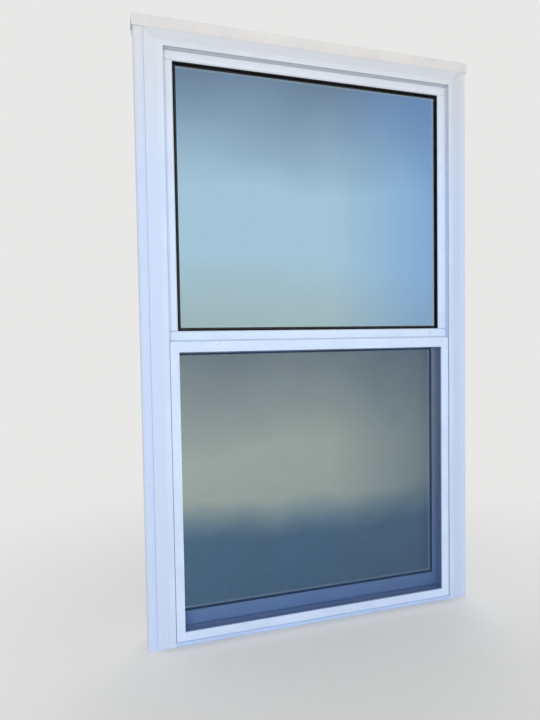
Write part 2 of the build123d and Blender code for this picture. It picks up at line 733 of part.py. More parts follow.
with BuildPart() as screen_corner_keys:
    key_in = 2 * SCREEN_WALL
    key_w = SCREEN_BAR - SPLINE_IN - SPLINE_W - 2 * SCREEN_WALL - key_in
    for side in (-1, 1):
        for corner, up in ((SCREEN_LOW, 1), (SCREEN_TOP, -1)):
            x = side * (SCREEN_HALF - key_in)
            z = corner + up * key_in
            front = depth(SCREEN_BACK + SCREEN_WALL)
            with BuildSketch(Plane(origin=(x, front, z), x_dir=(1, 0, 0), z_dir=(0, -1, 0))):
                polygon(
                    (0, 0),
                    (-side * KEY_L, 0),
                    (-side * KEY_L, up * key_w),
                    (-side * key_w, up * key_w),
                    (-side * key_w, up * KEY_L),
                    (0, up * KEY_L),
                )
            extrude(amount=-(SCREEN_T - 2 * SCREEN_WALL))
finish(screen_corner_keys, "screen_corner_keys")

with BuildPart() as screen_pull_tabs:
    for side in (-1, 1):
        x = side * TAB_X
        block(
            (x - TAB_L / 2, depth(SCREEN_REAR), OPEN_LOW - SPLINE_IN - SPLINE_W - TAB_H),
            (x + TAB_L / 2, depth(SCREEN_REAR + TAB_T), OPEN_LOW - SPLINE_IN - SPLINE_W),
        )
        block(
            (x - TAB_L / 2, depth(SCREEN_REAR), OPEN_LOW - SPLINE_IN - SPLINE_W - TAB_H),
            (x + TAB_L / 2, depth(SCREEN_REAR + 4 * TAB_T), OPEN_LOW - SPLINE_IN - SPLINE_W - TAB_H + TAB_T),
        )
finish(screen_pull_tabs, "screen_pull_tabs")

# Lower sash: four mitred hollow members round an insulating glass unit


def sash_section():
    """Sash member; x runs in from the sash's edge, y runs back from its face."""
    polygon(
        (0, 0),
        (SASH_FACE - SASH_BEVEL, 0),
        (SASH_FACE, SASH_BEVEL),
        (SASH_FACE, SASH_LEG),
        (SASH_BOX, SASH_LEG),
        (SASH_BOX, SASH_T),
        (0, SASH_T),
    )
    chamber(WALL, WALL, SASH_BOX - WALL, SASH_T - WALL)


def sash_corner(side, top):
    """Mitre through a sash corner; its front faces the level rail."""
    height = SASH_TOP if top else SASH_LOW
    return Plane(origin=(side * SASH_HALF, 0, height), z_dir=(-side, 0, 1 if top else -1))


PIVOT_Y = depth(SASH_BACK + LOCK_PIVOT)


def lock_screw_spots(height):
    """Places of the two lock screws at a height."""
    y = PIVOT_Y + LOCK_SCREW_Y
    return [(-LOCK_SCREW_X, y, height), (LOCK_SCREW_X, y, height)]


LATCH_FRONT = SASH_MID - LATCH_W / 2
LATCH_REAR = SASH_MID + LATCH_W / 2


def latch_pocket():
    """Pocket for a tilt latch, open at the top and at the sash's edge."""
    for side in (-1, 1):
        ends = sorted((side * (SASH_HALF + WALL), side * (SASH_HALF - LATCH_L - GAP)))
        block(
            (ends[0], depth(LATCH_FRONT), SASH_TOP - LATCH_H),
            (ends[1], depth(LATCH_REAR), SASH_TOP + WALL),
            mode=Mode.SUBTRACT,
        )


with BuildPart() as left_sash_stile:
    with BuildSketch(stile_plane(-SASH_HALF, SASH_LOW, SASH_BACK)):
        sash_section()
    extrude(amount=SASH_TOP - SASH_LOW)
    split(bisect_by=sash_corner(-1, True), keep=Keep.BOTTOM)
    split(bisect_by=sash_corner(-1, False), keep=Keep.BOTTOM)
    latch_pocket()
    # Hole for the pivot bar
    with Locations(
        Location((-SASH_HALF, depth(SASH_MID), SASH_LOW + PIVOT_Z), (0, 90, 0))
    ):
        Cylinder(PIVOT_R + SNUG, 3 * WALL, mode=Mode.SUBTRACT)
finish(left_sash_stile, "left_sash_stile")

with BuildPart() as right_sash_stile:
    mirror(left_sash_stile.part, about=Plane.YZ)
finish(right_sash_stile, "right_sash_stile")

with BuildPart() as sash_top_rail:
    with BuildSketch(hanging_plane(-SASH_HALF, SASH_TOP, SASH_BACK)):
        sash_section()
    extrude(amount=2 * SASH_HALF)
    split(bisect_by=sash_corner(-1, True), keep=Keep.TOP)
    split(bisect_by=sash_corner(1, True), keep=Keep.TOP)
    latch_pocket()
    # Holes for the lock's screws
    with Locations(*lock_screw_spots(SASH_TOP)):
        Cylinder(RIVET_R + SNUG, 3 * WALL, mode=Mode.SUBTRACT)
    # Interlock hook, left open where the keeper passes
    hook_tip = LEG_REAR + HOOK_CLEAR
    hook_low = HOOK_Z + HOOK_T + HOOK_CLEAR
    hook_high = HOOK_Z + HOOK_H + HOOK_CLEAR + HOOK_T
    for side in (-1, 1):
        with BuildSketch(rail_plane(side * KEEPER_NOTCH)):
            polygon(
                (hook_tip, hook_low),
                (hook_tip, hook_high),
                (SASH_BACK + WALL / 2, hook_high),
                (SASH_BACK + WALL / 2, hook_high - HOOK_T),
                (hook_tip + HOOK_T, hook_high - HOOK_T),
                (hook_tip + HOOK_T, hook_low),
            )
        extrude(amount=side * (SASH_HALF - SASH_FACE - KEEPER_NOTCH))
finish(sash_top_rail, "sash_top_rail")

with BuildPart() as sash_bottom_rail:
    with BuildSketch(standing_plane(SASH_HALF, SASH_LOW, SASH_BACK)):
        sash_section()
    extrude(amount=2 * SASH_HALF)
    split(bisect_by=sash_corner(-1, False), keep=Keep.TOP)
    split(bisect_by=sash_corner(1, False), keep=Keep.TOP)
    # Lift rail on the room side
    lift_half = SASH_HALF - LIFT_END
    with BuildSketch(rail_plane(-lift_half)):
        polygon(
            (SASH_REAR - WALL / 2, LIFT_LOW),
            (SASH_REAR - WALL / 2, LIFT_LOW + LIFT_T),
            (SASH_REAR + LIFT_OUT - LIFT_T, LIFT_LOW + LIFT_T),
            (SASH_REAR + LIFT_OUT - LIFT_T, LIFT_LOW + LIFT_UP),
            (SASH_REAR + LIFT_OUT, LIFT_LOW + LIFT_UP),
            (SASH_REAR + LIFT_OUT, LIFT_LOW),
        )
    extrude(amount=2 * lift_half)
finish(sash_bottom_rail, "sash_bottom_rail")

SASH_UNIT_FRONT = SASH_BACK + SASH_LEG + SASH_TAPE
SASH_UNIT_IN = SASH_BOX + GLASS_EDGE
SASH_UNIT_HALF = SASH_HALF - SASH_UNIT_IN
SASH_UNIT_LOW = SASH_LOW + SASH_UNIT_IN
SASH_UNIT_HIGH = SASH_TOP - SASH_UNIT_IN

with BuildPart() as sash_outer_pane:
    sheet(SASH_UNIT_HALF, SASH_UNIT_LOW, SASH_UNIT_HIGH, SASH_UNIT_FRONT, PANE_T)
finish(sash_outer_pane, "sash_outer_pane")

with BuildPart() as sash_inner_pane:
    sheet(SASH_UNIT_HALF, SASH_UNIT_LOW, SASH_UNIT_HIGH, SASH_UNIT_FRONT + PANE_T + AIR, PANE_T)
finish(sash_inner_pane, "sash_inner_pane")

with BuildPart() as sash_spacer:
    ring(
        SASH_UNIT_HALF,
        SASH_UNIT_LOW,
        SASH_UNIT_HIGH,
        SASH_SPACER_W,
        SASH_UNIT_FRONT + PANE_T,
        AIR,
    )
finish(sash_spacer, "sash_spacer")

with BuildPart() as sash_glazing_tape:
    ring(
        SASH_UNIT_HALF,
        SASH_UNIT_LOW,
        SASH_UNIT_HIGH,
        SASH_FACE + GASKET_PROUD - SASH_UNIT_IN,
        SASH_BACK + SASH_LEG,
        SASH_TAPE,
    )
finish(sash_glazing_tape, "sash_glazing_tape")


def sash_bead_section():
    """Inside bead that slopes down to the glass; x runs in, y runs back."""
    edge = SASH_BOX + GAP
    front = SASH_LEG + SASH_TAPE + UNIT_T
    reach = SASH_BOX + SASH_BEAD_W
    polygon(
        (edge, front),
        (reach, front),
        (reach, front + SASH_TAPE),
        (reach - SASH_BEAD_BEVEL, SASH_T),
        (edge, SASH_T),
    )


with BuildPart() as sash_top_bead:
    half = SASH_HALF - SASH_BOX - GAP
    with BuildSketch(hanging_plane(-half, SASH_TOP, SASH_BACK)):
        sash_bead_section()
    extrude(amount=2 * half)
finish(sash_top_bead, "sash_top_bead")

with BuildPart() as sash_bottom_bead:
    with BuildSketch(standing_plane(half, SASH_LOW, SASH_BACK)):
        sash_bead_section()
    extrude(amount=2 * half)
finish(sash_bottom_bead, "sash_bottom_bead")

with BuildPart() as sash_left_bead:
    bead_low = SASH_LOW + SASH_BOX + SASH_BEAD_W + GAP
    bead_high = SASH_TOP - SASH_BOX - SASH_BEAD_W - GAP
    with BuildSketch(stile_plane(-SASH_HALF, bead_low, SASH_BACK)):
        sash_bead_section()
    extrude(amount=bead_high - bead_low)
finish(sash_left_bead, "sash_left_bead")

with BuildPart() as sash_right_bead:
    mirror(sash_left_bead.part, about=Plane.YZ)
finish(sash_right_bead, "sash_right_bead")

with BuildPart() as sash_setting_blocks:
    setting_blocks(
        SASH_LOW + SASH_BOX, SASH_UNIT_LOW, SASH_UNIT_FRONT, SASH_UNIT_FRONT + UNIT_T
    )
finish(sash_setting_blocks, "sash_setting_blocks")

with BuildPart() as bottom_bulb_seal:
    with BuildSketch(rail_plane(-SASH_HALF + SASH_FACE)):
        with Locations((SASH_MID, SASH_LOW)):
            SlotOverall(BULB_W, 2 * (SASH_LOW - SILL_FLAT - GAP))
            Rectangle(2 * BULB_W, BULB_W, align=(Align.CENTER, Align.MIN), mode=Mode.SUBTRACT)
    extrude(amount=2 * (SASH_HALF - SASH_FACE))
finish(bottom_bulb_seal, "bottom_bulb_seal")

# Spring balances in the jamb pockets

TUBE_X = -HALF_W + TUBE_IN
TUBE_Y = depth(SASH_MID + TUBE_SHIFT)

with BuildPart() as left_balance_tube:
    with BuildSketch(Plane.XY.offset(TUBE_LOW)):
        with Locations((TUBE_X, TUBE_Y)):
            Circle(TUBE_R)
            Circle(TUBE_BORE, mode=Mode.SUBTRACT)
    extrude(amount=TUBE_TOP - ANCHOR_H - TUBE_LOW)
    # Anchor block against the bottom of the pocket
    block(
        (-HALF_W + POCKET_IN, TUBE_Y - TUBE_R, TUBE_TOP - ANCHOR_H),
        (-HALF_W + ANCHOR_IN, TUBE_Y + TUBE_R, TUBE_TOP),
    )
    with Locations(Location((TUBE_X, TUBE_Y, TUBE_TOP - ANCHOR_H / 2), (0, 90, 0))):
        Cylinder(RIVET_R + SNUG, 4 * TUBE_R, mode=Mode.SUBTRACT)
both(left_balance_tube, "balance_tube")

with BuildPart() as balance_screws:
    for side in (-1, 1):
        x = side * (HALF_W - ANCHOR_IN)
        with BuildSketch(
            Plane(origin=(x, TUBE_Y, TUBE_TOP - ANCHOR_H / 2), z_dir=(-side, 0, 0))
        ):
            Circle(RIVET_HEAD)
        extrude(amount=WALL)
        with BuildSketch(
            Plane(origin=(x, TUBE_Y, TUBE_TOP - ANCHOR_H / 2), z_dir=(side, 0, 0))
        ):
            Circle(RIVET_R)
        extrude(amount=ANCHOR_IN - POCKET_IN + WALL)
finish(balance_screws, "balance_screws")

with BuildPart() as left_balance_rod:
    with BuildSketch(Plane.XY.offset(SASH_LOW + SHOE_H)):
        with Locations((TUBE_X, TUBE_Y)):
            Circle(ROD_R)
    extrude(amount=ROD_TOP - SASH_LOW - SHOE_H)
both(left_balance_rod, "balance_rod")

with BuildPart() as left_balance_shoe:
    block(
        (-HALF_W + POCKET_IN + GAP, depth(POCKET_FRONT + GAP), SASH_LOW),
        (-HALF_W + SHOE_FACE, depth(POCKET_REAR - GAP), SASH_LOW + SHOE_H),
    )
    fillet(left_balance_shoe.edges().filter_by(Axis.X), WALL)
    with Locations(Location((TUBE_X, depth(SASH_MID), SASH_LOW + PIVOT_Z), (0, 90, 0))):
        Cylinder(PIVOT_R + SNUG, 2 * POCKET_W, mode=Mode.SUBTRACT)
both(left_balance_shoe, "balance_shoe")

with BuildPart() as pivot_bars:
    for side in (-1, 1):
        foot = SASH_HALF - SASH_BOX
        with BuildSketch(
            Plane(
                origin=(side * foot, depth(SASH_MID), SASH_LOW + PIVOT_Z),
                x_dir=(0, 1, 0),
                z_dir=(side, 0, 0),
            )
        ):
            Circle(PIVOT_R)
        extrude(amount=HALF_W - PIVOT_TIP - foot)
        ends = sorted((side * foot, side * (foot - PIVOT_FOOT)))
        block(
            (ends[0], depth(SASH_BACK + WALL), SASH_LOW + WALL),
            (ends[1], depth(SASH_REAR - WALL), SASH_LOW + SASH_BOX - WALL),
        )
finish(pivot_bars, "pivot_bars")

with BuildPart() as travel_stops:
    for side in (-1, 1):
        ends = sorted((side * (HALF_W - TRACK_IN), side * (HALF_W - TRACK_IN - STOP_T)))
        block(
            (ends[0], depth(SASH_BACK + GAP), STOP_LOW),
            (ends[1], depth(SASH_REAR - GAP), STOP_LOW + STOP_H),
        )
    chamfer(travel_stops.edges().filter_by(Axis.Y).group_by(Axis.Z)[-1], WALL)
finish(travel_stops, "travel_stops")

with BuildPart() as left_pile_strip:
    block(
        (-HALF_W + PILE_IN, depth(LEG_REAR), SILL_FLAT + GAP),
        (-HALF_W + PILE_IN + PILE_W, depth(SASH_BACK - GAP), HOOK_Z - GAP),
    )
both(left_pile_strip, "pile_strip")

# Tilt latches in the top rail

with BuildPart() as left_latch_housing:
    edge = -SASH_HALF
    block(
        (edge + GAP, depth(LATCH_FRONT), SASH_TOP - LATCH_H),
        (edge + LATCH_L, depth(LATCH_REAR), SASH_TOP),
    )
    block(
        (edge + GAP, depth(LATCH_FRONT - FLANGE_W), SASH_TOP),
        (edge + LATCH_L + FLANGE_W, depth(LATCH_REAR + FLANGE_W), SASH_TOP + FLANGE_T),
    )
    fillet(left_latch_housing.edges().filter_by(Axis.Z).group_by(Axis.X)[-1], FLANGE_W)
    # Channel of the bolt, open at the edge of the sash
    block(
        (edge - GAP, depth(LATCH_FRONT + LATCH_SKIN), SASH_TOP - LATCH_H + LATCH_SKIN),
        (edge + LATCH_L - LATCH_SKIN, depth(LATCH_REAR - LATCH_SKIN), SASH_TOP - LATCH_SKIN),
        mode=Mode.SUBTRACT,
    )
    # Slot of the thumb button
    block(
        (edge + BUTTON_X - GAP, depth(SASH_MID - BUTTON_W / 2 - GAP), SASH_TOP - 2 * LATCH_SKIN),
        (
            edge + BUTTON_X + BUTTON_L + BOLT_STROKE + GAP,
            depth(SASH_MID + BUTTON_W / 2 + GAP),
            SASH_TOP + 2 * FLANGE_T,
        ),
        mode=Mode.SUBTRACT,
    )
both(left_latch_housing, "latch_housing")

with BuildPart() as left_tilt_latch:
    bolt_low = SASH_TOP - LATCH_H + LATCH_SKIN + GAP
    bolt_high = SASH_TOP - LATCH_SKIN - GAP
    bolt_half = LATCH_W / 2 - LATCH_SKIN - GAP
    block(
        (edge - BOLT_OUT, depth(SASH_MID - bolt_half), bolt_low),
        (edge - BOLT_OUT + BOLT_L, depth(SASH_MID + bolt_half), bolt_high),
    )
    # The tip is bevelled so that the sash snaps shut
    chamfer(
        left_tilt_latch.edges().filter_by(Axis.Z).group_by(Axis.X)[0].sort_by(Axis.Y)[-1:],
        BOLT_OUT / 2,
    )
    block(
        (edge + BUTTON_X, depth(SASH_MID - BUTTON_W / 2), bolt_high),
        (edge + BUTTON_X + BUTTON_L, depth(SASH_MID + BUTTON_W / 2), bolt_high + BUTTON_H),
    )
both(left_tilt_latch, "tilt_latch")

# Cam lock on the top rail and its keeper on the meeting rail

LOCK_TOP = SASH_TOP + LOCK_H

with BuildPart() as lock_base:
    with BuildSketch(Plane.XY.offset(SASH_TOP)):
        with Locations((0, depth(SASH_BACK + LOCK_FRONT + LOCK_W / 2))):
            RectangleRounded(LOCK_L, LOCK_W, LOCK_W / 3)
    extrude(amount=LOCK_H)
    chamfer(lock_base.edges().group_by(Axis.Z)[-1], STEP_SIZE)
    # Room for the cam to swing
    with BuildSketch(Plane.XY.offset(CAM_LOW - GAP)):
        with Locations((0, PIVOT_Y)):
            Circle(CAM_R + GAP)
    extrude(amount=CAM_T + 2 * GAP, mode=Mode.SUBTRACT)
    with BuildSketch(Plane.XY.offset(SASH_TOP)):
        with Locations((0, PIVOT_Y)):
            Circle(POST_R + SNUG)
    extrude(amount=2 * LOCK_H, mode=Mode.SUBTRACT)
    with Locations(*lock_screw_spots(LOCK_TOP)):
        CounterBoreHole(RIVET_R + SNUG, RIVET_HEAD + SNUG, SCREW_HEAD_T)
finish(lock_base, "lock_base")

with BuildPart() as lock_screws:
    with Locations(*lock_screw_spots(LOCK_TOP)):
        Cylinder(RIVET_HEAD, SCREW_HEAD_T, align=(Align.CENTER, Align.CENTER, Align.MAX))
        Cylinder(RIVET_R, LOCK_H + WALL, align=(Align.CENTER, Align.CENTER, Align.MAX))
finish(lock_screws, "lock_screws")

with BuildPart() as lock_lever:
    # Post through the base
    with BuildSketch(Plane.XY.offset(SASH_TOP + GAP)):
        with Locations((0, PIVOT_Y)):
            Circle(POST_R)
    extrude(amount=LOCK_H + GAP)
    # Cam: a sector that swings forward under the keeper
    with BuildSketch(Plane(origin=(0, PIVOT_Y, CAM_LOW))):
        with BuildLine():
            start = PolarLine((0, 0), CAM_R, CAM_FROM)
            CenterArc((0, 0), CAM_R, CAM_FROM, CAM_TO - CAM_FROM)
            PolarLine((0, 0), CAM_R, CAM_TO)
        make_face()
    extrude(amount=CAM_T)
    # Hub and handle
    hub_low = LOCK_TOP + GAP
    with BuildSketch(Plane.XY.offset(hub_low)):
        with Locations((0, PIVOT_Y)):
            Circle(HUB_R)
    extrude(amount=LEVER_T)
    with BuildSketch(Plane(origin=(0, PIVOT_Y, hub_low)).rotated((0, 0, LEVER_ANGLE))):
        with BuildLine():
            Polyline(
                (0, -HUB_R * 0.8),
                (LEVER_L, -HUB_R * 0.4),
                (LEVER_L, HUB_R * 0.4),
                (0, HUB_R * 0.8),
                close=True,
            )
        make_face()
    extrude(amount=LEVER_T)
finish(lock_lever, "lock_lever")

with BuildPart() as lock_keeper:
    block(
        (-KEEPER_L / 2, depth(LEG_REAR), KEEPER_LOW),
        (KEEPER_L / 2, depth(LEG_REAR + KEEPER_T), KEEPER_TOP),
    )
    block(
        (-KEEPER_L / 2, depth(LEG_REAR + KEEPER_T), KEEPER_TOP - FLANGE_T),
        (KEEPER_L / 2, depth(LEG_REAR + KEEPER_LIP), KEEPER_TOP),
    )
    with Locations(
        Location((-RIVET_X, depth(LEG_REAR), RIVET_Z), (90, 0, 0)),
        Location((RIVET_X, depth(LEG_REAR), RIVET_Z), (90, 0, 0)),
    ):
        Cylinder(RIVET_R + SNUG, 4 * WALL, mode=Mode.SUBTRACT)
finish(lock_keeper, "lock_keeper")

with BuildPart() as keeper_rivets:
    for x in (-RIVET_X, RIVET_X):
        with BuildSketch(Plane(origin=(x, depth(LEG_BACK), RIVET_Z), z_dir=(0, 1, 0))):
            Circle(RIVET_R)
        extrude(amount=WALL + KEEPER_T)
        with BuildSketch(Plane(origin=(x, depth(LEG_REAR + KEEPER_T), RIVET_Z), z_dir=(0, 1, 0))):
            Circle(RIVET_HEAD)
        extrude(amount=STEP_SIZE)
finish(keeper_rivets, "keeper_rivets")
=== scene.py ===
import bmesh
import bpy
import json
import math
import random
from mathutils import Matrix, Vector

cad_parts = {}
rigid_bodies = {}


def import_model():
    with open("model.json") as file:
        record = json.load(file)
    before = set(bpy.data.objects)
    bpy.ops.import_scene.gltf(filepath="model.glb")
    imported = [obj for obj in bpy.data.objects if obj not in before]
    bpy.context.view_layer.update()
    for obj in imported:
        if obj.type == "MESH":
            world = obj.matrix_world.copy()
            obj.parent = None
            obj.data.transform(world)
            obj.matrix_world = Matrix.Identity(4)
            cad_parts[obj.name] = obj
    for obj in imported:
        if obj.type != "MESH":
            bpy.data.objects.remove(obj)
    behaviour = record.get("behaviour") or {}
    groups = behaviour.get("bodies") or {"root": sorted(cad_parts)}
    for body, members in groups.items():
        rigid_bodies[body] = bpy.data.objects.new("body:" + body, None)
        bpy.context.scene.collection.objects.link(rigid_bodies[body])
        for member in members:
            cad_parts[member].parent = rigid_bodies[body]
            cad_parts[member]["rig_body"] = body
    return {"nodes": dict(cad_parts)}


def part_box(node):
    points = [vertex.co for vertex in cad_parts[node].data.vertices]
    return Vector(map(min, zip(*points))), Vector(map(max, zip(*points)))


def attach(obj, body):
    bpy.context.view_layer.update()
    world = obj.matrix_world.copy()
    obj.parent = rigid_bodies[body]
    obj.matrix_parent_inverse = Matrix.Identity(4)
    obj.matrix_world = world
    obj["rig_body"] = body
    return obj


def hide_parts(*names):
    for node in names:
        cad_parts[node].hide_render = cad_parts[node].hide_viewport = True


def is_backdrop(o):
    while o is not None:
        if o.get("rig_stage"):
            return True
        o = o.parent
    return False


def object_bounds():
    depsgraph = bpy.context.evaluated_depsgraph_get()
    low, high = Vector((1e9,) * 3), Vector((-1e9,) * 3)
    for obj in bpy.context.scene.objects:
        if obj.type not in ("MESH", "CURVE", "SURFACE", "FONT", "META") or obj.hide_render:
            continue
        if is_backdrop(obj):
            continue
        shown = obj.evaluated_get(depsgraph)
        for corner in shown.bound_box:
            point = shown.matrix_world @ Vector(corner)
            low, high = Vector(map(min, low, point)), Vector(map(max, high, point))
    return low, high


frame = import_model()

# %% [markdown]
# A single-hung window in white vinyl: a fixed light above, a sash that slides up below,
# and an insect screen outside that sash.  The rigid model gives every place.  This
# script adds the finish: softened edges, woven mesh, twisted rods, pile, screws, and a
# material for each kind of surface.  Each step is explained first and made after that.
# Lengths could be in metres throughout, as Blender keeps them, but a window maker
# thinks in millimetres, so they are written that way and scaled.

# %% Units, bounds and places
MM = 0.001
NODES = frame["nodes"]
cad_low, cad_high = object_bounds()


def span(name):
    """Lowest and highest corner of a rigid piece, in millimetres."""
    low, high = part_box(name)
    return low / MM, high / MM


jamb_low, jamb_high = span("left_jamb")
screen_low, screen_high = span("screen_mesh")
HALF_WIDE = -jamb_low.x
HEAD_TOP = jamb_high.z
LIP_FRONT = cad_low.y / MM
print("frame", [round(v) for v in (jamb_high - jamb_low)], "mm")

# %% [markdown]
# Colours are written as the eye sees them on the object, in hexadecimal figures.  They
# could be typed as the linear values that Blender wants, but nobody can read a colour
# from those, so one function turns them into light values.  White vinyl in outdoor
# light looks a slightly blue white, and that blue of the light is painted into its tones.

# %% Colours


def shade(code, alpha=1.0):
    """Light values of a colour written as six hexadecimal figures."""
    parts = [int(code[i:i + 2], 16) / 255 for i in (0, 2, 4)]
    light = [p / 12.92 if p <= 0.04045 else ((p + 0.055) / 1.055) ** 2.4 for p in parts]
    return (*light, alpha)


# %% [markdown]
# Every material is a small tree of nodes.  It could be drawn by hand in the shader
# editor, but a script can be read, changed and run again.  Two functions keep the trees
# short: one adds a node and links or sets its sockets, the other starts a material with
# its main shader.  The rest are nodes that nearly every finish needs.

# %% Node helpers


def add(tree, kind, settings=None, **sockets):
    """New node, with its properties and its sockets, which are numbers or links."""
    new = tree.nodes.new("ShaderNode" + kind)
    for name, value in (settings or {}).items():
        setattr(new, name, value)
    for name, value in sockets.items():
        index = name[1:]
        socket = new.inputs[int(index) if index.isdigit() else name.replace("_", " ")]
        if isinstance(value, bpy.types.NodeSocket):
            tree.links.new(value, socket)
        else:
            socket.default_value = value
    return new


def start(name, **sockets):
    """New material with its main shader, and its texture coordinates in metres."""
    material = bpy.data.materials.new(name)
    material.use_nodes = True
    tree = material.node_tree
    tree.nodes.clear()
    shader = add(tree, "BsdfPrincipled", **sockets)
    output = add(tree, "OutputMaterial")
    tree.links.new(shader.outputs[0], output.inputs[0])
    place = add(tree, "TexCoord").outputs["Object"]
    return material, tree, shader, place


def stretched(tree, place, x, y, z):
    """Coordinates scaled along each axis, in figures for each metre."""
    return add(tree, "Mapping", Vector=place, Scale=(x, y, z)).outputs[0]


def noise(tree, place, scale, detail=3.0, roughness=0.5):
    """Value of a noise of so many figures for each metre."""
    made = add(tree, "TexNoise", Vector=place, Scale=scale, Detail=detail, Roughness=roughness)
    return made.outputs[0]


def ramp(tree, value, low, high, to_low=0.0, to_high=1.0):
    """A value between two limits turned into a value between two others."""
    made = add(tree, "MapRange", i0=value, i1=low, i2=high, i3=to_low, i4=to_high)
    return made.outputs[0]


def blend(tree, factor, first, second):
    """Colour between two, each a colour or a link."""
    made = add(tree, "Mix", {"data_type": "RGBA"}, i0=factor, i6=first, i7=second)
    return made.outputs[2]


def total(tree, first, second, operation="ADD"):
    """Sum, or another combination, of two values."""
    return add(tree, "Math", {"operation": operation}, i0=first, i1=second).outputs[0]


def relief(tree, shader, height, depth, previous=None):
    """Bump from a height between 0 and 1 that stands for so many millimetres."""
    bump = add(tree, "Bump", Height=height, Distance=depth * MM, Strength=1.0)
    if previous is not None:
        tree.links.new(previous, bump.inputs["Normal"])
    tree.links.new(bump.outputs[0], shader.inputs["Normal"])
    return bump.outputs[0]


# %% [markdown]
# The camera stands to the left of the window, at half its height, and looks slightly
# down.  It could be placed by eye, but then no edge would quite line up.  So place and
# angles come from matching twenty-one corners of the model to the photograph.  The
# photograph is higher than wide, so the focal length is set against the height of the
# sensor.

# %% Camera
FOCAL_PX = 531.4         # focal length in pixels of a picture 720 high
YAW, PITCH, ROLL = (math.radians(a) for a in (16.4707, -2.2261, -0.9146))
CAMERA_PLACE = Vector((-516.3, -1323.9, 756.1)) * MM
SENSOR_MM = 36.0
PICTURE_HIGH = 720
NEAREST = 0.01           # metres in front of the lens

forward = Vector((
    math.sin(YAW) * math.cos(PITCH),
    math.cos(YAW) * math.cos(PITCH),
    math.sin(PITCH),
))
level_right = Vector((math.cos(YAW), -math.sin(YAW), 0))
level_up = level_right.cross(forward)
right = math.cos(ROLL) * level_right + math.sin(ROLL) * level_up
up = -math.sin(ROLL) * level_right + math.cos(ROLL) * level_up
turn = Matrix((right, up, -forward)).transposed().to_4x4()

lens = bpy.data.cameras.new("camera")
lens.sensor_fit = "VERTICAL"
lens.sensor_height = SENSOR_MM
lens.lens = FOCAL_PX / PICTURE_HIGH * SENSOR_MM
lens.clip_start = NEAREST
camera = bpy.data.objects.new("camera", lens)
camera.matrix_world = Matrix.Translation(CAMERA_PLACE) @ turn
bpy.context.scene.collection.objects.link(camera)
bpy.context.scene.camera = camera
bpy.context.scene.view_settings.view_transform = "Standard"
print("lens", round(lens.lens, 2), "mm")

# %% [markdown]
# Light as in a plain studio: a sky of even light from all round, weaker overhead, and
# one broad soft lamp in front and to the left, a little above the window's middle.  A
# second lamp lights the room side.  An image of real surroundings could light the scene
# too, but the glass would then show them, and colours would shift.  What the camera
# sees behind the window is a pale backdrop, which glass and metal show as well.

# %% Light
SKY_ROUND = 0.71         # strength of the sky at eye level
SKY_OVERHEAD = 0.48
SKY_RISE = (0.1, 0.9)    # from which height of gaze to which the sky weakens
LAMP_WATTS = 134.0
LAMP_SIZE = 3.4          # metres
LAMP_PLACE = Vector((-1.5, -4.8, 0.95))
LAMP_AIM = Vector((0.0, 0.0, 0.75))
ROOM_LAMP_PLACE = Vector((1.5, 3.2, 1.5))
ROOM_LAMP_WATTS = 52.0
BACKDROP = shade("E8E8E7")


def seen_ray(tree):
    """One for rays that the camera, gloss or glass sends out, and zero for others."""
    path = add(tree, "LightPath")
    seen, gloss, through = (
        path.outputs["Is " + kind + " Ray"] for kind in ("Camera", "Glossy", "Transmission")
    )
    return total(tree, total(tree, seen, gloss, "MAXIMUM"), through, "MAXIMUM")


world = bpy.data.worlds.new("studio")
world.use_nodes = True
bpy.context.scene.world = world
tree = world.node_tree
tree.nodes.clear()
bearing = add(tree, "TexCoord").outputs["Generated"]
rise = add(tree, "SeparateXYZ", Vector=bearing).outputs[2]
strength = ramp(tree, rise, *SKY_RISE, SKY_ROUND, SKY_OVERHEAD)
even = add(tree, "Background", Color=shade("FFFFFF"), Strength=strength)
pale = add(tree, "Background", Color=BACKDROP, Strength=1.0)
choice = add(tree, "MixShader", i0=seen_ray(tree), i1=even.outputs[0], i2=pale.outputs[0])
output = add(tree, "OutputWorld")
tree.links.new(choice.outputs[0], output.inputs[0])


def soft_lamp(name, place, watts):
    """Broad round lamp that the camera, gloss and glass don't see itself."""
    lamp = bpy.data.lights.new(name, "AREA")
    lamp.shape = "DISK"
    lamp.size = LAMP_SIZE
    lamp.energy = watts
    stand = bpy.data.objects.new(name, lamp)
    stand.location = place
    stand.rotation_euler = (LAMP_AIM - place).to_track_quat("-Z", "Y").to_euler()
    stand.visible_camera = False
    stand.visible_transmission = False
    stand.visible_glossy = False
    bpy.context.scene.collection.objects.link(stand)


soft_lamp("outdoor_lamp", LAMP_PLACE, LAMP_WATTS)
soft_lamp("indoor_lamp", ROOM_LAMP_PLACE, ROOM_LAMP_WATTS)

# %% [markdown]
# The floor is a plain pale sheet under the sill.  It isn't part of the window.  It
# could run on to a horizon, or be left out, but the first draws a line behind the
# object and the second takes its shadow away.  So the sheet takes light and shadow near
# the window, and farther off it turns into the plain tone of the backdrop.

# %% Floor
FLOOR_HALF = 6.0
FLOOR_UNDER = 0.4        # thickness of a card's gap under the sill
FLOOR_FADE = (0.6, 1.5)  # metres from the middle
FLOOR_GLOW = 0.35        # how much of the plain tone is mixed in close to the window
FLOOR_GRAIN = 40.0       # figures for each metre
FLOOR_ROUGH = 0.9

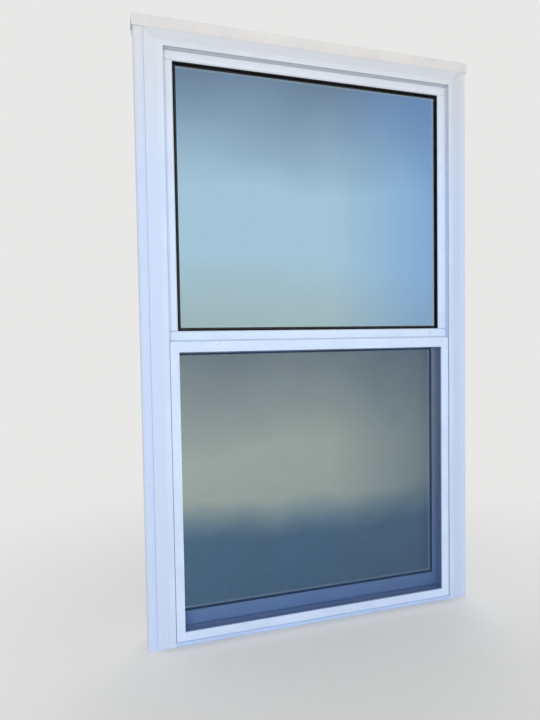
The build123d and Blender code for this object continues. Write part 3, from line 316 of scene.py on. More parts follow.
shape = bmesh.new()
bmesh.ops.create_grid(shape, x_segments=1, y_segments=1, size=FLOOR_HALF)
bmesh.ops.translate(shape, verts=shape.verts, vec=(0, 0, -FLOOR_UNDER * MM))
sheet = bpy.data.meshes.new("floor")
shape.to_mesh(sheet)
shape.free()
floor = bpy.data.objects.new("floor", sheet)
bpy.context.scene.collection.objects.link(floor)
matte, tree, shader, place = start("studio_floor", Roughness=FLOOR_ROUGH)
grain = noise(tree, place, FLOOR_GRAIN)
tone = blend(tree, grain, shade("F0F0EF"), shade("F4F4F3"))
tree.links.new(tone, shader.inputs["Base Color"])
away = add(tree, "VectorMath", {"operation": "LENGTH"}, i0=place).outputs["Value"]
away = ramp(tree, away, *FLOOR_FADE, FLOOR_GLOW, 1.0)
pale = add(tree, "Emission", Color=BACKDROP, Strength=1.0)
share = total(tree, seen_ray(tree), away, "MULTIPLY")
choice = add(tree, "MixShader", i0=share, i1=shader.outputs[0], i2=pale.outputs[0])
surface = next(node for node in tree.nodes if node.type == "OUTPUT_MATERIAL")
tree.links.new(choice.outputs[0], surface.inputs[0])
floor.data.materials.append(matte)
floor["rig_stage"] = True

# %% [markdown]
# White window vinyl is extruded: a satin skin with faint die lines along its length, a
# soft unevenness of the skin, and after some years a thin veil of dust and a few dark
# specks.  A painted image could show all that, but it would have to be laid out on
# every piece and would stretch on long ones.  Noise in object coordinates needs no
# layout, and is right here because every piece lies where it was modelled.  The lines
# run along Z on uprights and along X on level pieces, so each kind of vinyl is made
# twice.

# %% Vinyl
LINES = 900.0            # die lines for each metre across
LINE_ALONG = 2.0
LINE_DEPTH = 0.02        # millimetres
SKIN = 55.0              # soft unevenness, waves for each metre
SKIN_DEPTH = 0.06
VINYL_SKIN = {
    "IOR": 1.53,
    "Specular_IOR_Level": 0.5,
    "Coat_Weight": 0.06,
    "Coat_Roughness": 0.3,
}
# Heights and depths are in metres.  A row of four gives two limits of what is measured,
# and how much of a finish there is at each.
# Painted shade: the low tone of outdoor vinyl carries the blue of open shade, which fades
# upwards to the high tone
PALING = (1.12, 1.5)     # height where the blue fades to a neutral white
INDOORS = (0.008, 0.02)  # depth where the white of the room side begins
FACES_ROOM = (0.2, 0.6)
ROOM_WHITE = "E1E3E6"
DUST_AND_SHADE = "9AA3B2"
DUST_SCALE = 9.0
DUST_VEIL = (0.42, 0.7, 0.0, 0.16)
# Painted shade on the outermost strips and on outdoor faces turned away from the front, in the
# dust's grey
EDGE_SHADE = (0.4285, 0.4305, 0.0, 0.1)
SLOPE_SHADE = (-0.99, -0.955, 0.0, 0.13)
SPECK_SCALE = 260.0
SPECK_CORE = (0.735, 0.755)
SPECK_SHARE = 0.55
GROUP_SCALE = 14.0
GROUP_CORE = (0.52, 0.64)
LOW_GRIME = (0.0, 0.16, 0.22, 0.0)
SPLASH_SCALE = 120.0
SPLASH_CORE = (0.54, 0.74)
SHEEN_SPAN = (0.3, 0.7)
SHEEN_BELOW, SHEEN_ABOVE = 0.04, 0.12


def vinyl(
    name, low_tone, high_tone, upright,
    gloss=0.36, grime="8D9096", paling=PALING, indoors=INDOORS,
):
    """Extruded vinyl with die lines along Z, if it is upright, or along X, and painted shade
    in its tones.
    """
    material, tree, shader, place = start(name, **VINYL_SKIN)
    across = (LINES, LINES, LINE_ALONG) if upright else (LINE_ALONG, LINES, LINES)
    lines = noise(tree, stretched(tree, place, *across), 1.0, 2.0)
    axes = add(tree, "SeparateXYZ", Vector=place).outputs
    # Painted shade: the blue of open shade in the low tone fades upwards to the high tone
    tone = blend(tree, ramp(tree, axes[2], *paling), shade(low_tone), shade(high_tone))
    # Indoors and on faces that look into the room the painted blue of shade is left off, so
    # the vinyl is a neutral white
    facing = add(tree, "NewGeometry").outputs["True Normal"]
    facing = add(tree, "SeparateXYZ", Vector=facing).outputs[1]
    sheltered = ramp(tree, facing, *FACES_ROOM)
    sheltered = total(tree, sheltered, ramp(tree, axes[1], *indoors), "MAXIMUM")
    outdoors = total(tree, 1.0, sheltered, "SUBTRACT")
    tone = blend(tree, sheltered, tone, shade(ROOM_WHITE))
    # A thin veil of dust, and painted shade in the same grey on the outermost strips and on
    # outdoor faces turned away from the front
    dust = noise(tree, place, DUST_SCALE, 5.0, 0.6)
    outward = total(tree, axes[0], 0.0, "ABSOLUTE")
    edge = ramp(tree, outward, *EDGE_SHADE)
    dust_and_edge_shade = total(tree, ramp(tree, dust, *DUST_VEIL), edge, "MAXIMUM")
    turned_shade = total(tree, ramp(tree, facing, *SLOPE_SHADE), outdoors, "MULTIPLY")
    tone = blend(tree, total(tree, dust_and_edge_shade, turned_shade, "MAXIMUM"), tone, shade(DUST_AND_SHADE))
    # Dark specks, a millimetre or two wide, in loose groups
    specks = ramp(tree, noise(tree, place, SPECK_SCALE, 1.0), *SPECK_CORE)
    groups = ramp(tree, noise(tree, place, GROUP_SCALE, 2.0), *GROUP_CORE)
    specks = total(tree, specks, groups, "MULTIPLY")
    specks = total(tree, specks, outdoors, "MULTIPLY")
    # Splashed grime low on the frame
    low = ramp(tree, axes[2], *LOW_GRIME)
    splash = ramp(tree, noise(tree, place, SPLASH_SCALE, 4.0, 0.7), *SPLASH_CORE)
    stain = total(tree, low, splash, "MULTIPLY")
    stain = total(tree, stain, total(tree, specks, SPECK_SHARE, "MULTIPLY"), "MAXIMUM")
    tone = blend(tree, stain, tone, shade(grime))
    tree.links.new(tone, shader.inputs["Base Color"])
    sheen = ramp(tree, dust, *SHEEN_SPAN, gloss - SHEEN_BELOW, gloss + SHEEN_ABOVE)
    tree.links.new(sheen, shader.inputs["Roughness"])
    first = relief(tree, shader, lines, LINE_DEPTH)
    relief(tree, shader, noise(tree, place, SKIN, 2.0), SKIN_DEPTH, first)
    return material


# %% [markdown]
# Frame, beads, sash, sill and head expander come from different extrusions, and weather
# and daylight reach them differently.  One white for all would be simpler, but a real
# window shows whiter beads and a warmer cap, and a sash that lies in deeper blue shade
# behind the screen.  So one recipe is used several times with other tones, which carry
# the painted blue of that shade, and with other heights at which the painted blue pales.

# %% Vinyl finishes
# White frame vinyl, with the blue of open shade painted in, paling to neutral up under the
# head
FRAME_TONES = ("CBDCF9", "D9DCE1")
vinyl_upright = vinyl("white_vinyl_upright", *FRAME_TONES, upright=True)
vinyl_level = vinyl("white_vinyl_level", *FRAME_TONES, upright=False)
# The sill's bed lies in the blue shade behind the screen, which is painted into its tones
sill_vinyl = vinyl("white_vinyl_sill", "B8D1F8", "CDD8EA", upright=False, grime="7C8088")
# Glazing beads come from another extrusion and are a shade whiter and glossier
BEAD_TONES = ("D6E7FF", "DEE1E7")
bead_upright = vinyl("bead_vinyl_upright", *BEAD_TONES, upright=True, gloss=0.32)
bead_level = vinyl("bead_vinyl_level", *BEAD_TONES, upright=False, gloss=0.32)
# The sash lies in deep shade behind the screen, painted as a strong blue that pales upwards
SASH_TONES = ("9AC2FD", "C9D1DC")
SASH_RISE = {"paling": (0.06, 0.5), "indoors": (0.022, 0.03)}
sash_upright = vinyl("sash_vinyl_upright", *SASH_TONES, upright=True, **SASH_RISE)
sash_level = vinyl("sash_vinyl_level", *SASH_TONES, upright=False, **SASH_RISE)
# The head expander is an older, warmer white
expander = vinyl("warm_white_vinyl", "E2E0DE", "DCDAD8", upright=False, grime="A09C92")

# %% [markdown]
# The screen's bars are rolled from thin aluminium and stove enamelled white: smoother
# than vinyl, with the slight orange peel of sprayed paint.  The lock is die cast and
# powder coated, which gives small, deeper pebbles.  The vinyl's recipe could serve with
# its die lines turned off, but paint differs in its clear coat too, so a short recipe
# of its own is easier to read.

# %% Painted and cast metal
WEAR_SCALE = 12.0
WEAR_CORE = (0.4, 0.68)
WEAR_DULLS = 0.1
CLEAR_COAT = {"IOR": 1.5, "Coat_Weight": 0.15, "Coat_Roughness": 0.12}


def enamel(name, tone, worn, peel, depth, gloss):
    """Sprayed paint with orange peel, so many figures for each metre."""
    material, tree, shader, place = start(name, **CLEAR_COAT)
    cloud = noise(tree, place, WEAR_SCALE, 4.0, 0.6)
    colour = blend(tree, ramp(tree, cloud, *WEAR_CORE), shade(tone), shade(worn))
    tree.links.new(colour, shader.inputs["Base Color"])
    sheen = ramp(tree, cloud, *SHEEN_SPAN, gloss, gloss + WEAR_DULLS)
    tree.links.new(sheen, shader.inputs["Roughness"])
    relief(tree, shader, noise(tree, place, peel, 2.0), depth)
    return material


# White enamel of the screen's bars, with the blue of open shade painted into its tones
screen_paint = enamel("white_enamel", "D2E3FE", "CADBF7", 700.0, 0.02, 0.26)
# Powder coat on the die-cast lock, thicker and pebbled
powder_coat = enamel("white_powder_coat", "E2E4E6", "D6D8DA", 1400.0, 0.04, 0.34)

# %% [markdown]
# Zinc-plated steel is bright but not polished: a cool grey metal with a fine random
# mottle and short drawn lines.  A metal of one even roughness would be quicker to make
# and would look like chrome.  Two noises are enough to break the reflections, one in
# the tone and roughness, and a stretched one in the relief.

# %% Bright steel
ZINC_MOTTLE = 420.0      # figures for each metre
DRAWN_LINES = (2500.0, 2500.0, 60.0)
DRAWN_DEPTH = 0.01
STEEL_GLOSS = (0.2, 0.38)

bright_steel, tree, shader, place = start("zinc_plated_steel", Metallic=1.0)
mottle = noise(tree, place, ZINC_MOTTLE, 4.0, 0.65)
drawn = noise(tree, stretched(tree, place, *DRAWN_LINES), 1.0, 2.0)
colour = blend(tree, mottle, shade("A9ADB2"), shade("CDD0D3"))
tree.links.new(colour, shader.inputs["Base Color"])
tree.links.new(ramp(tree, mottle, *SHEEN_SPAN, *STEEL_GLOSS), shader.inputs["Roughness"])
relief(tree, shader, drawn, DRAWN_DEPTH)

# %% [markdown]
# Spacer bars keep the two sheets of a glass unit apart: rolled aluminium with breather
# dots on the faces that look into the gap, and a black edge seal on the faces against
# the sheets.  The seal could be a piece of its own, but it is a film, so the direction
# of a face decides between metal and seal.  Little light reaches the bars through the
# glass, and more lamps would spoil the rest, so the bare faces glow a little by
# themselves.

# %% Spacer bars
GAP_LIGHT = 0.3
ROLLED_MOTTLE = 300.0
BREATHER_DOTS = 160.0    # dots for each metre
DOT_RIM = (0.1, 0.16)
DOT_DEPTH = 0.08
SEAL_FACING = 0.5        # faces turned farther than this to a sheet carry the seal
ROLLED_GLOSS = (0.34, 0.5)

spacer_metal, tree, shader, place = start("spacer_aluminium", Metallic=0.2)
mottle = noise(tree, place, ROLLED_MOTTLE, 3.0)
dots = add(tree, "TexVoronoi", {"feature": "F1"}, Vector=place, Scale=BREATHER_DOTS)
hole = ramp(tree, dots.outputs[0], *DOT_RIM)
colour = blend(tree, mottle, shade("EEF2F0"), shade("F6F9F8"))
colour = blend(tree, hole, shade("8A8E90"), colour)
facing = add(tree, "NewGeometry").outputs["True Normal"]
facing = add(tree, "SeparateXYZ", Vector=facing).outputs[1]
facing = total(tree, facing, 0.0, "ABSOLUTE")
sealed = total(tree, facing, SEAL_FACING, "GREATER_THAN")
colour = blend(tree, sealed, colour, shade("0C0E11"))
tree.links.new(colour, shader.inputs["Base Color"])
# Painted light: the bare metal glows a little, standing in for daylight that the sheets spread
# into the gap
bare = total(tree, 1.0, sealed, "SUBTRACT")
tree.links.new(colour, shader.inputs["Emission Color"])
glow = total(tree, bare, GAP_LIGHT, "MULTIPLY")
tree.links.new(glow, shader.inputs["Emission Strength"])
tree.links.new(ramp(tree, mottle, *SHEEN_SPAN, *ROLLED_GLOSS), shader.inputs["Roughness"])
relief(tree, shader, hole, DOT_DEPTH)

# %% [markdown]
# Rubbers and plastics.  Glazing gaskets are dull black, slightly chalky with age.  The
# moulded parts keep the fine spark-eroded texture of their mould.  Each could have its
# own tree, but they differ only in numbers.  So one function mixes two near tones by a
# fine and a broad noise, and uses the fine one for the relief too.

# %% Rubber and moulded plastic
BROAD_SCALE = 18.0
FINE_SHARE = 0.4
MIX_SPAN = (0.35, 0.65)


def plain(name, first, second, grain, depth, low_gloss, high_gloss, soft=0.0, shine=0.5):
    """Rubber or moulded plastic: two tones mixed by a fine grain, with its relief."""
    material, tree, shader, place = start(
        name, IOR=1.5, Subsurface_Weight=soft, Specular_IOR_Level=shine
    )
    fine = noise(tree, place, grain, 3.0, 0.6)
    broad = noise(tree, place, BROAD_SCALE, 3.0)
    mixed = total(
        tree,
        total(tree, fine, FINE_SHARE, "MULTIPLY"),
        total(tree, broad, 1.0 - FINE_SHARE, "MULTIPLY"),
    )
    colour = blend(tree, ramp(tree, mixed, *MIX_SPAN), shade(first), shade(second))
    tree.links.new(colour, shader.inputs["Base Color"])
    sheen = ramp(tree, mixed, *MIX_SPAN, low_gloss, high_gloss)
    tree.links.new(sheen, shader.inputs["Roughness"])
    relief(tree, shader, fine, depth)
    return material


black_rubber = plain(
    "black_gasket_rubber", "0B0D10", "15181C", 900.0, 0.03, 0.5, 0.68, shine=0.2
)
foam_tape = plain("white_foam_tape", "D4D6D8", "E4E5E6", 1600.0, 0.06, 0.75, 0.9)
block_rubber = plain("setting_block_rubber", "2A2C2F", "383A3D", 600.0, 0.03, 0.55, 0.7)
grey_spline = plain("ribbed_grey_spline", "54585D", "63676C", 500.0, 0.05, 0.5, 0.62)
key_nylon = plain("white_key_nylon", "DBDDE0", "E6E7E9", 1100.0, 0.02, 0.38, 0.5)
tab_nylon = plain("milky_tab_nylon", "E2E5E8", "EDEFF1", 1100.0, 0.02, 0.26, 0.36, 0.1)
tube_plastic = plain("balance_tube_plastic", "D9DAD8", "E5E5E3", 300.0, 0.02, 0.3, 0.42)
shoe_acetal = plain("balance_shoe_acetal", "E4E3DE", "EEEDE9", 900.0, 0.02, 0.3, 0.42, 0.05)
stop_nylon = plain("travel_stop_nylon", "E0E3E6", "EAECEE", 900.0, 0.02, 0.34, 0.46)
latch_abs = plain("white_latch_plastic", "E1E4E8", "EBEDF0", 1500.0, 0.03, 0.36, 0.48)
seal_rubber = plain("bulb_seal_rubber", "3A3D40", "4A4D50", 700.0, 0.03, 0.5, 0.66)
pile_fibre = plain("grey_pile_fibre", "7C8186", "9CA1A6", 2500.0, 0.1, 0.7, 0.9)
# Vinyl-coated glass thread of the insect mesh: dark, with a painted blue sheen of sky light in
# its tones
mesh_thread = plain("dark_mesh_thread_painted_blue_sheen", "2A4A7A", "385A8A", 1200.0, 0.01, 0.42, 0.6)

# %% [markdown]
# Insulating glass with a low-emissivity coating.  Its tones are painted reflection: the
# fixed light carries a painted blue of sky that pales downwards, and the sash's unit a
# greyer, greener painted reflection with a deep blue foot, each with another tone
# towards its right edge.  It could be a plain see-through shader, which is quicker, but
# then the sheets lose their reflections and the gap between them.  So it is glass with a
# tint, and each sheet carries half of the tint, because one looks through two.  Rain
# spots and wiping leave a film that only changes how rough the surface is.

# %% Glass
SIDE_REFLECTION = (0.05, 0.5, 0.0, 0.7)   # metres to the right, and how much of the side tone
TINT_SCALE = 3.0
TINT_WANDER = 0.03       # metres by which the tones' borders wander up and down
FILM_SCALE = 22.0
FILM_ROUGH = (0.45, 0.75, 0.0, 0.035)
WAVES = 2.5              # slow waves of float glass for each metre
WAVE_DEPTH = 0.25


def glass(name, top, middle, bottom, side, heights):
    """Tinted sheet with three tones of painted reflection up its height, and one towards its
    right edge.
    """
    material, tree, shader, place = start(
        name, Transmission_Weight=1.0, IOR=1.52, Specular_IOR_Level=0.9
    )
    axes = add(tree, "SeparateXYZ", Vector=place).outputs
    cloud = noise(tree, place, TINT_SCALE, 2.0)
    cloud = ramp(tree, cloud, *SHEEN_SPAN, -TINT_WANDER, TINT_WANDER)
    height = total(tree, axes[2], cloud)
    first, second, third, fourth = (value * MM for value in heights)
    colour = blend(tree, ramp(tree, height, first, second), shade(bottom), shade(middle))
    colour = blend(tree, ramp(tree, height, third, fourth), colour, shade(top))
    aside = ramp(tree, axes[0], *SIDE_REFLECTION)
    colour = blend(tree, aside, colour, shade(side))
    tree.links.new(colour, shader.inputs["Base Color"])
    film = noise(tree, place, FILM_SCALE, 5.0, 0.7)
    tree.links.new(ramp(tree, film, *FILM_ROUGH), shader.inputs["Roughness"])
    relief(tree, shader, noise(tree, place, WAVES, 1.0), WAVE_DEPTH)
    return material


def borders(name, rises, below_top):
    """Heights between which the tones change, from the foot and the top of a sheet."""
    low, high = span(name)
    return [low.z + rise for rise in rises] + [high.z - below_top]


upper_glass = glass(
    "low_e_glass_painted_sky_reflection", "A4BACF", "D4EAF6", "CFDFE1", "96C2F0",
    borders("upper_outer_pane", (0.0, 200.0, 380.0), 20.0),
)
sash_glass = glass(
    "sash_low_e_glass_painted_reflection", "BCC4BF", "E6ECE0", "9CB8C6", "98A6A8",
    borders("sash_outer_pane", (170.0, 280.0, 400.0), 0.0),
)

# %% [markdown]
# Each rigid piece keeps its shape and gets the finish of its slot.  Materials could be
# chosen piece by piece, but the slots already name what each piece is made of, so one
# table is enough.  Vinyl pieces that stand upright get the upright finish.

# %% Finishes by slot
LEVEL = {
    "frame_vinyl": vinyl_level,
    "expander_vinyl": expander,
    "bead_vinyl": bead_level,
    "sash_vinyl": sash_level,
    "sash_bead_vinyl": bead_level,
    "upper_glass": upper_glass,
    "sash_glass": sash_glass,
    "spacer_bar": spacer_metal,
    "black_gasket": black_rubber,
    "glazing_tape": foam_tape,
    "setting_block": block_rubber,
    "screen_frame": screen_paint,
    "screen_mesh": mesh_thread,
    "spline_vinyl": grey_spline,
    "corner_key": key_nylon,
    "pull_tab": tab_nylon,
    "balance_tube": tube_plastic,
    "bright_steel": bright_steel,
    "balance_shoe": shoe_acetal,
    "travel_stop": stop_nylon,
    "pile": pile_fibre,
    "bulb_seal": seal_rubber,
    "lock_casting": powder_coat,
    "latch_plastic": latch_abs,
}
UPRIGHT = {
    "frame_vinyl": vinyl_upright,
    "bead_vinyl": bead_upright,
    "sash_vinyl": sash_upright,
    "sash_bead_vinyl": bead_upright,
}
SLOTS = {name: piece.data.materials[0].name for name, piece in NODES.items()}
FINISHES = {}
for name, piece in NODES.items():
    low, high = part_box(name)
    tall = high.z - low.z > high.x - low.x
    kind = SLOTS[name]
    FINISHES[name] = UPRIGHT[kind] if tall and kind in UPRIGHT else LEVEL[kind]
FINISHES["frame_sill"] = sill_vinyl
for name, piece in NODES.items():
    piece.data.materials[0] = FINISHES[name]
print(len(FINISHES), "pieces finished")

# %% [markdown]
# Extruded, rolled and cast parts have no knife edges.  The rounding could be modelled
# in the solids, which makes them heavy, or done by a bevel node, which an exported
# model loses.  So each such piece that shows gets a copy whose sharp edges are rounded
# by the radius of its die or mould: about half a millimetre on vinyl, less on rolled
# aluminium.  Where two pieces meet, the two roundings leave the fine groove that one
# sees at a mitre or a butt joint.

# %% Softened pieces
FLAT_ANGLE = math.radians(1.0)
SHARP_ANGLE = math.radians(28.0)
MERGE = 0.01             # millimetres
FLAT_WEIGHT = 90
SOFT_RADIUS = {
    "frame_vinyl": 0.6,
    "expander_vinyl": 0.5,
    "bead_vinyl": 0.45,
    "sash_vinyl": 0.5,
    "sash_bead_vinyl": 0.45,
    "screen_frame": 0.35,
    "black_gasket": 0.5,
    "pull_tab": 0.3,
    "corner_key": 0.2,
    "balance_shoe": 0.4,
    "travel_stop": 0.6,
    "lock_casting": 0.4,
    "latch_plastic": 0.35,
}


def body_of(name):
    """Name of the moving body that carries a rigid piece."""
    return NODES[name]["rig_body"]


def place_piece(shape, name, finish, body, smooth=True):
    """Finished object from a mesh in metres, riding on a body."""
    data = bpy.data.meshes.new(name)
    shape.to_mesh(data)
    shape.free()
    data.materials.append(finish)
    for face in data.polygons:
        face.use_smooth = smooth
    piece = bpy.data.objects.new(name, data)
    bpy.context.scene.collection.objects.link(piece)
    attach(piece, body)
    return piece


def smooth_by_angle(shape, angle):
    """Mark the edges that stay sharp in the shading."""
    for edge in shape.edges:
        turned = edge.calc_face_angle(math.pi)
        edge.smooth = turned < angle


def copied(name):
    """Mesh of a rigid piece with its double corners merged and flat faces joined."""
    shape = bmesh.new()
    shape.from_mesh(NODES[name].data)
    bmesh.ops.remove_doubles(shape, verts=shape.verts, dist=MERGE * MM)
    bmesh.ops.dissolve_limit(
        shape, angle_limit=FLAT_ANGLE, verts=shape.verts, edges=shape.edges
    )
    return shape


def soften(shape, radius):
    """Round the sharp edges of a closed mesh."""
    sharp = [e for e in shape.edges if e.calc_face_angle(0.0) > SHARP_ANGLE]
    bmesh.ops.bevel(
        shape,
        geom=sharp,
        offset=radius * MM,
        segments=2,
        profile=0.5,
        affect="EDGES",
        clamp_overlap=True,
        material=-1,
    )
    bmesh.ops.recalc_face_normals(shape, faces=shape.faces)
    smooth_by_angle(shape, SHARP_ANGLE)


softened = 0
for name in NODES:
    kind = SLOTS[name]
    if kind not in SOFT_RADIUS:
        continue
    shape = copied(name)
    soften(shape, SOFT_RADIUS[kind])
    piece = place_piece(shape, "soft_" + name, FINISHES[name], body_of(name))
    # Broad faces keep their own normal, so the shading turns only in the rounding
    flat = piece.modifiers.new("flat_faces", "WEIGHTED_NORMAL")
    flat.weight = FLAT_WEIGHT
    flat.keep_sharp = True
    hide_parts(name)
    softened += len(piece.data.polygons)
print("softened faces", softened)

# %% [markdown]
# The insect mesh is woven from vinyl-coated glass thread: eighteen threads to the inch
# across and sixteen up, each a quarter of a millimetre thick.  A sheet with holes in
# its material could stand in for it, but it has no depth and shimmers.  Threads that
# wave over and under each other would take millions of faces.  So each thread is one
# long four-sided rod, and the upright ones lie in front of the level ones.  Their ends
# run under the spline.

# %% Insect mesh
THREAD = 0.27            # thickness
INCH = 25.4
ACROSS_PITCH = INCH / 18
UP_PITCH = INCH / 16


def rods(shape, count, first, pitch, axis, low, high, depth):
    """Row of thin square rods, laid along X (axis 0) or Z (axis 2)."""
    middle = (low + high) / 2
    for number in range(count):
        across = first + number * pitch
        centre = (middle, depth, across) if axis == 0 else (across, depth, middle)
        size = (high - low, THREAD, THREAD) if axis == 0 else (THREAD, THREAD, high - low)
        matrix = Matrix.Translation(Vector(centre) * MM) @ Matrix.Diagonal((*size, 1.0))
        bmesh.ops.create_cube(shape, size=MM, matrix=matrix)


wide = screen_high.x - screen_low.x
tall = screen_high.z - screen_low.z
across_count = int(wide / ACROSS_PITCH)
up_count = int(tall / UP_PITCH)
mesh_depth = (screen_low.y + screen_high.y) / 2
print("threads", across_count, "x", up_count)
weave = bmesh.new()
rods(
    weave, up_count, screen_low.z + UP_PITCH / 2, UP_PITCH,
    0, screen_low.x, screen_high.x, mesh_depth + THREAD / 2,
)
rods(
    weave, across_count, screen_low.x + ACROSS_PITCH / 2, ACROSS_PITCH,
    2, screen_low.z, screen_high.z, mesh_depth - THREAD / 2,
)
bmesh.ops.recalc_face_normals(weave, faces=weave.faces)
mesh_piece = place_piece(
    weave, "woven_mesh", mesh_thread, "frame", smooth=False
)
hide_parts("screen_mesh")
print("mesh faces", len(mesh_piece.data.polygons))

# %% [markdown]
# The rod of a spiral balance is a flat steel strip twisted like a drill.  It could be
# stacked from many turned slices that are then joined.  It is swept up from its narrow
# section instead, turning as it rises, because one spin with a rise makes the whole rod
# with its faces joined.

# %% Twisted balance rods
ROD_LEAD = 28.0          # rise for each whole turn
ROD_FLAT = 2.0           # thickness of the strip
ROD_STEPS = 14           # steps for each whole turn
ROD_SHARE = 0.96         # of the rigid rod's width
ROD_SHARP = math.radians(40.0)

for side in ("left", "right"):
    name = side + "_balance_rod"
    low, high = span(name)
    middle = (low + high) / 2
    wide = high.x - low.x
    reach = high.z - low.z
    turns = reach / ROD_LEAD
    steps = int(turns * ROD_STEPS)
    strip = bmesh.new()
    corners = bmesh.ops.create_grid(strip, x_segments=1, y_segments=1, size=MM / 2)["verts"]
    bmesh.ops.scale(strip, verts=corners, vec=(wide * ROD_SHARE, ROD_FLAT, 1.0))
    bmesh.ops.translate(strip, verts=corners, vec=Vector((middle.x, middle.y, low.z)) * MM)
    bmesh.ops.spin(
        strip,
        geom=strip.faces[:],
        cent=Vector((middle.x, middle.y, 0)) * MM,
        axis=(0, 0, 1),
        dvec=(0, 0, reach * MM / steps),
        angle=turns * math.tau,
        steps=steps,
    )
    bmesh.ops.recalc_face_normals(strip, faces=strip.faces)
    smooth_by_angle(strip, ROD_SHARP)
    rod = place_piece(
        strip, side + "_twisted_rod", bright_steel, body_of(name)
    )
    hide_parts(name)
    print(side, "rod turns", round(turns, 1))

# %% [markdown]
# Pile strips seal the sash against draught: a woven backing with rows of short fibres.
# Hair would be the finest way to make them, but hair isn't a mesh and gets lost in an
# export.  Short cones in close rows, each leaning its own way, read as fibres on a
# strip a few millimetres wide.

# %% Pile strips
PILE_STEP = 1.6
PILE_ROWS = 4
PILE_BACK = 0.9          # thickness of the woven backing
PILE_TRIM = 0.5          # least that a tuft ends short of the strip's front
TUFT_LEAN = 9            # degrees either way
TUFT_SIDES = 5
TUFT_FOOT, TUFT_TIP = 0.75, 0.45    # radii
random.seed(7)
lie_back = Matrix.Rotation(-math.pi / 2, 4, "X")

for side in ("left", "right"):
    name = side + "_pile_strip"
    low, high = span(name)
    strip = bmesh.new()
    backing = bmesh.ops.create_cube(strip, size=MM)["verts"]
    bmesh.ops.scale(strip, verts=backing, vec=(high.x - low.x, PILE_BACK, high.z - low.z))
    middle = Vector(((low.x + high.x) / 2, low.y + PILE_BACK / 2, (low.z + high.z) / 2))
    bmesh.ops.translate(strip, verts=backing, vec=middle * MM)
    reach = high.y - low.y - PILE_BACK
    for row in range(PILE_ROWS):
        across = low.x + (high.x - low.x) * (row + 0.75) / (PILE_ROWS + 0.5)
        for step in range(int((high.z - low.z) / PILE_STEP) - 1):
            up_at = low.z + (step + 1 + 0.5 * (row % 2)) * PILE_STEP
            foot = Vector((across, low.y + PILE_BACK + reach / 2, up_at))
            angle = math.radians(random.uniform(-TUFT_LEAN, TUFT_LEAN))
            lean = Matrix.Rotation(angle, 4, "X")
            bmesh.ops.create_cone(
                strip,
                segments=TUFT_SIDES,
                radius1=TUFT_FOOT * MM,
                radius2=TUFT_TIP * MM,
                depth=(reach - random.uniform(PILE_TRIM, 2 * PILE_TRIM)) * MM,
                cap_ends=True,
                matrix=Matrix.Translation(foot * MM) @ lean @ lie_back,
            )
    bmesh.ops.recalc_face_normals(strip, faces=strip.faces)
    pile = place_piece(strip, side + "_pile", pile_fibre, body_of(name), smooth=False)
    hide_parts(name)
    print(side, "pile faces", len(pile.data.polygons))

# %% [markdown]
# The head is welded to the jambs at a mitre.  On the sloped face the trimmed weld shows
# as a hairline, which dust has darkened.  It could be cut into the mesh or drawn in the
# material.  A thin bar along the mitre is easier, because the line is straight and its
# two ends are known from the section.

# %% Weld lines of the upper corners
SLOPE_FROM = Vector((22.3, 9.9))    # in from the frame's edge, and back behind the lip
SLOPE_TO = Vector((49.4, 0.6))
LINE_WIDE, LINE_DEEP = 0.7, 0.2

# Dark dust of the weld lines and specks, also used for the painted shadow in the lip's slot
dirt_and_shadow_grey = plain("dust_and_painted_shadow", "5E6470", "7C828E", 1500.0, 0.02, 0.6, 0.8)
for side, sign in (("left", -1), ("right", 1)):
    ends = []
    for inward, back in (SLOPE_FROM, SLOPE_TO):
        across = sign * (HALF_WIDE - inward)
        ends.append(Vector((across, LIP_FRONT + back, HEAD_TOP - inward)))
    along = ends[1] - ends[0]
    lie = along.to_track_quat("Z", "Y").to_matrix().to_4x4()
    seam = bmesh.new()
    bmesh.ops.create_cube(
        seam,
        size=MM,
        matrix=Matrix.Translation((ends[0] + ends[1]) / 2 * MM)
        @ lie
        @ Matrix.Diagonal((LINE_WIDE, LINE_DEEP, along.length, 1.0)),
    )
    place_piece(seam, side + "_weld_line", dirt_and_shadow_grey, "frame", smooth=False)

# %% [markdown]
# The lock's screws have a cross recess for a driver.  It could be modelled face by
# face, but two crossed bars that are cut out of a copy of the rigid screws give it with
# clean corners.  The cut is a modifier, and modifiers work on objects, so two stand-ins
# carry the meshes for a moment.

# %% Screw recesses
RECESS_WIDE = 0.9
RECESS_LONG = 3.6
RECESS_DEEP = 1.3
RECESS_TURNS = (math.radians(20), math.radians(110))


def carved(shape, cutter):
    """Mesh with another mesh cut out of it."""
    stand_ins = []
    for part in (shape, cutter):
        data = bpy.data.meshes.new("stand_in")
        part.to_mesh(data)
        part.free()
        stand_ins.append(bpy.data.objects.new("stand_in", data))
        bpy.context.scene.collection.objects.link(stand_ins[-1])
    cut = stand_ins[0].modifiers.new("cut", "BOOLEAN")
    cut.operation = "DIFFERENCE"
    cut.solver = "EXACT"
    cut.use_self = True
    cut.object = stand_ins[1]
    result = bmesh.new()
    result.from_object(stand_ins[0], bpy.context.evaluated_depsgraph_get())
    for stand_in in stand_ins:
        data = stand_in.data
        bpy.data.objects.remove(stand_in)
        bpy.data.meshes.remove(data)
    return result


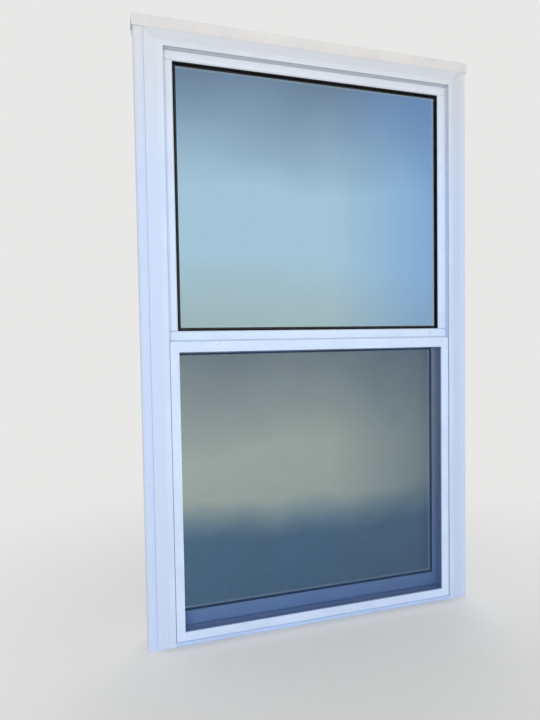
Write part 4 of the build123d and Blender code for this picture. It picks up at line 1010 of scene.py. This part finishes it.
low, high = span("lock_screws")
head_middle = (low.y + high.y) / 2
head_offset = high.x - (high.y - low.y) / 2
cutter = bmesh.new()
for across in (-head_offset, head_offset):
    at = Matrix.Translation(Vector((across, head_middle, high.z)) * MM)
    for quarter in RECESS_TURNS:
        bmesh.ops.create_cube(
            cutter,
            size=MM,
            matrix=at
            @ Matrix.Rotation(quarter, 4, "Z")
            @ Matrix.Diagonal((RECESS_LONG, RECESS_WIDE, 2 * RECESS_DEEP, 1.0)),
        )
driven = carved(copied("lock_screws"), cutter)
smooth_by_angle(driven, SHARP_ANGLE)
screws = place_piece(
    driven, "recessed_screws", bright_steel, body_of("lock_screws")
)
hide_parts("lock_screws")
print("screw faces", len(screws.data.polygons))

# %% [markdown]
# The narrow slot along the inner face of the lip shows as a fine dark line beside the
# fixed light and the screen, where shadow falls.  The slot's own shadow could be left to
# do that, but soft light fills it.  So three thin bands of painted shadow lie on its
# floor, one under the head and one along each jamb.

# %% Painted shadow in the lip's slot
SLOT_FLOOR = 63.7        # in from the frame's edge
SLOT_FROM, SLOT_TO = 2.9, 4.9    # back behind the lip
# Thickness of each band of painted shadow
SLOT_SHADOW_BAND = 0.12
SLOT_FOOT = 24.0         # above the floor

reach = HALF_WIDE - SLOT_FLOOR
slot_top = HEAD_TOP - SLOT_FLOOR
slot_back = LIP_FRONT + (SLOT_FROM + SLOT_TO) / 2
slot_deep = SLOT_TO - SLOT_FROM
bands = [((0, slot_back, slot_top - SLOT_SHADOW_BAND / 2), (2 * reach, slot_deep, SLOT_SHADOW_BAND))]
for sign in (-1, 1):
    middle = (sign * (reach - SLOT_SHADOW_BAND / 2), slot_back, (SLOT_FOOT + slot_top) / 2)
    bands.append((middle, (SLOT_SHADOW_BAND, slot_deep, slot_top - SLOT_FOOT)))
shadow_bands = bmesh.new()
for middle, size in bands:
    at = Matrix.Translation(Vector(middle) * MM)
    bmesh.ops.create_cube(shadow_bands, size=MM, matrix=at @ Matrix.Diagonal((*size, 1.0)))
place_piece(shadow_bands, "slot_painted_shadow", dirt_and_shadow_grey, "frame", smooth=False)

# %% [markdown]
# Small marks of use: a rubbed line on the bead under the fixed glass, near its right
# end, and three specks of dirt high on the left jamb.  They could be drawn in the
# vinyl's material, but each would need its own mask there.  Thin pieces are easier to
# place, and stand out from the vinyl by no more than a paint film does.

# %% Marks of use
MARK_PROUD = 0.06
RUB = (334.0, 767.0)     # middle of the rubbed line, across and up
RUB_LONG, RUB_WIDE = 13.0, 1.3
RUB_TURN = math.radians(40)
RUB_STROKES = ((0.0, 1.0), (3.2, 0.55))    # offset of each stroke, and share of its size
SPECKS = ((1358.0, 0.8), (1350.0, 0.6), (1340.0, 0.9))    # height and radius
SPECK_ACROSS, SPECK_BACK = -401.6, 0.28
SPECK_SIDES = 8

rubbed = plain("rubbed_mark", "8F96A4", "B4BCCB", 800.0, 0.02, 0.5, 0.7)
bead_front = span("bottom_glazing_bead")[0].y
film = bmesh.new()
for offset, share in RUB_STROKES:
    at = Vector((RUB[0] + offset, bead_front, RUB[1] + offset)) * MM
    bmesh.ops.create_cube(
        film,
        size=MM,
        matrix=Matrix.Translation(at)
        @ Matrix.Rotation(RUB_TURN, 4, "Y")
        @ Matrix.Diagonal((RUB_LONG * share, 2 * MARK_PROUD, RUB_WIDE * share, 1.0)),
    )
place_piece(film, "rubbed_line", rubbed, "frame", smooth=False)
dirt = bmesh.new()
for up_at, radius in SPECKS:
    at = Vector((SPECK_ACROSS, LIP_FRONT + SPECK_BACK, up_at)) * MM
    bmesh.ops.create_cone(
        dirt,
        cap_ends=True,
        segments=SPECK_SIDES,
        radius1=radius * MM,
        radius2=radius * MM,
        depth=4 * MARK_PROUD * MM,
        matrix=Matrix.Translation(at) @ Matrix.Rotation(math.pi / 2, 4, "X"),
    )
place_piece(dirt, "jamb_specks", dirt_and_shadow_grey, "frame", smooth=False)
print("marks", len(RUB_STROKES) + len(SPECKS))

# %% [markdown]
# The box of the visual model stays inside that of the rigid model.  One could trust
# that, but a bevel or a mark can reach past it unnoticed, so both boxes are measured,
# and the visual model's box is printed at the end.

# %% Sizes and finish
low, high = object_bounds()
print("box", [round(v / MM, 2) for v in (high - low)], "mm")
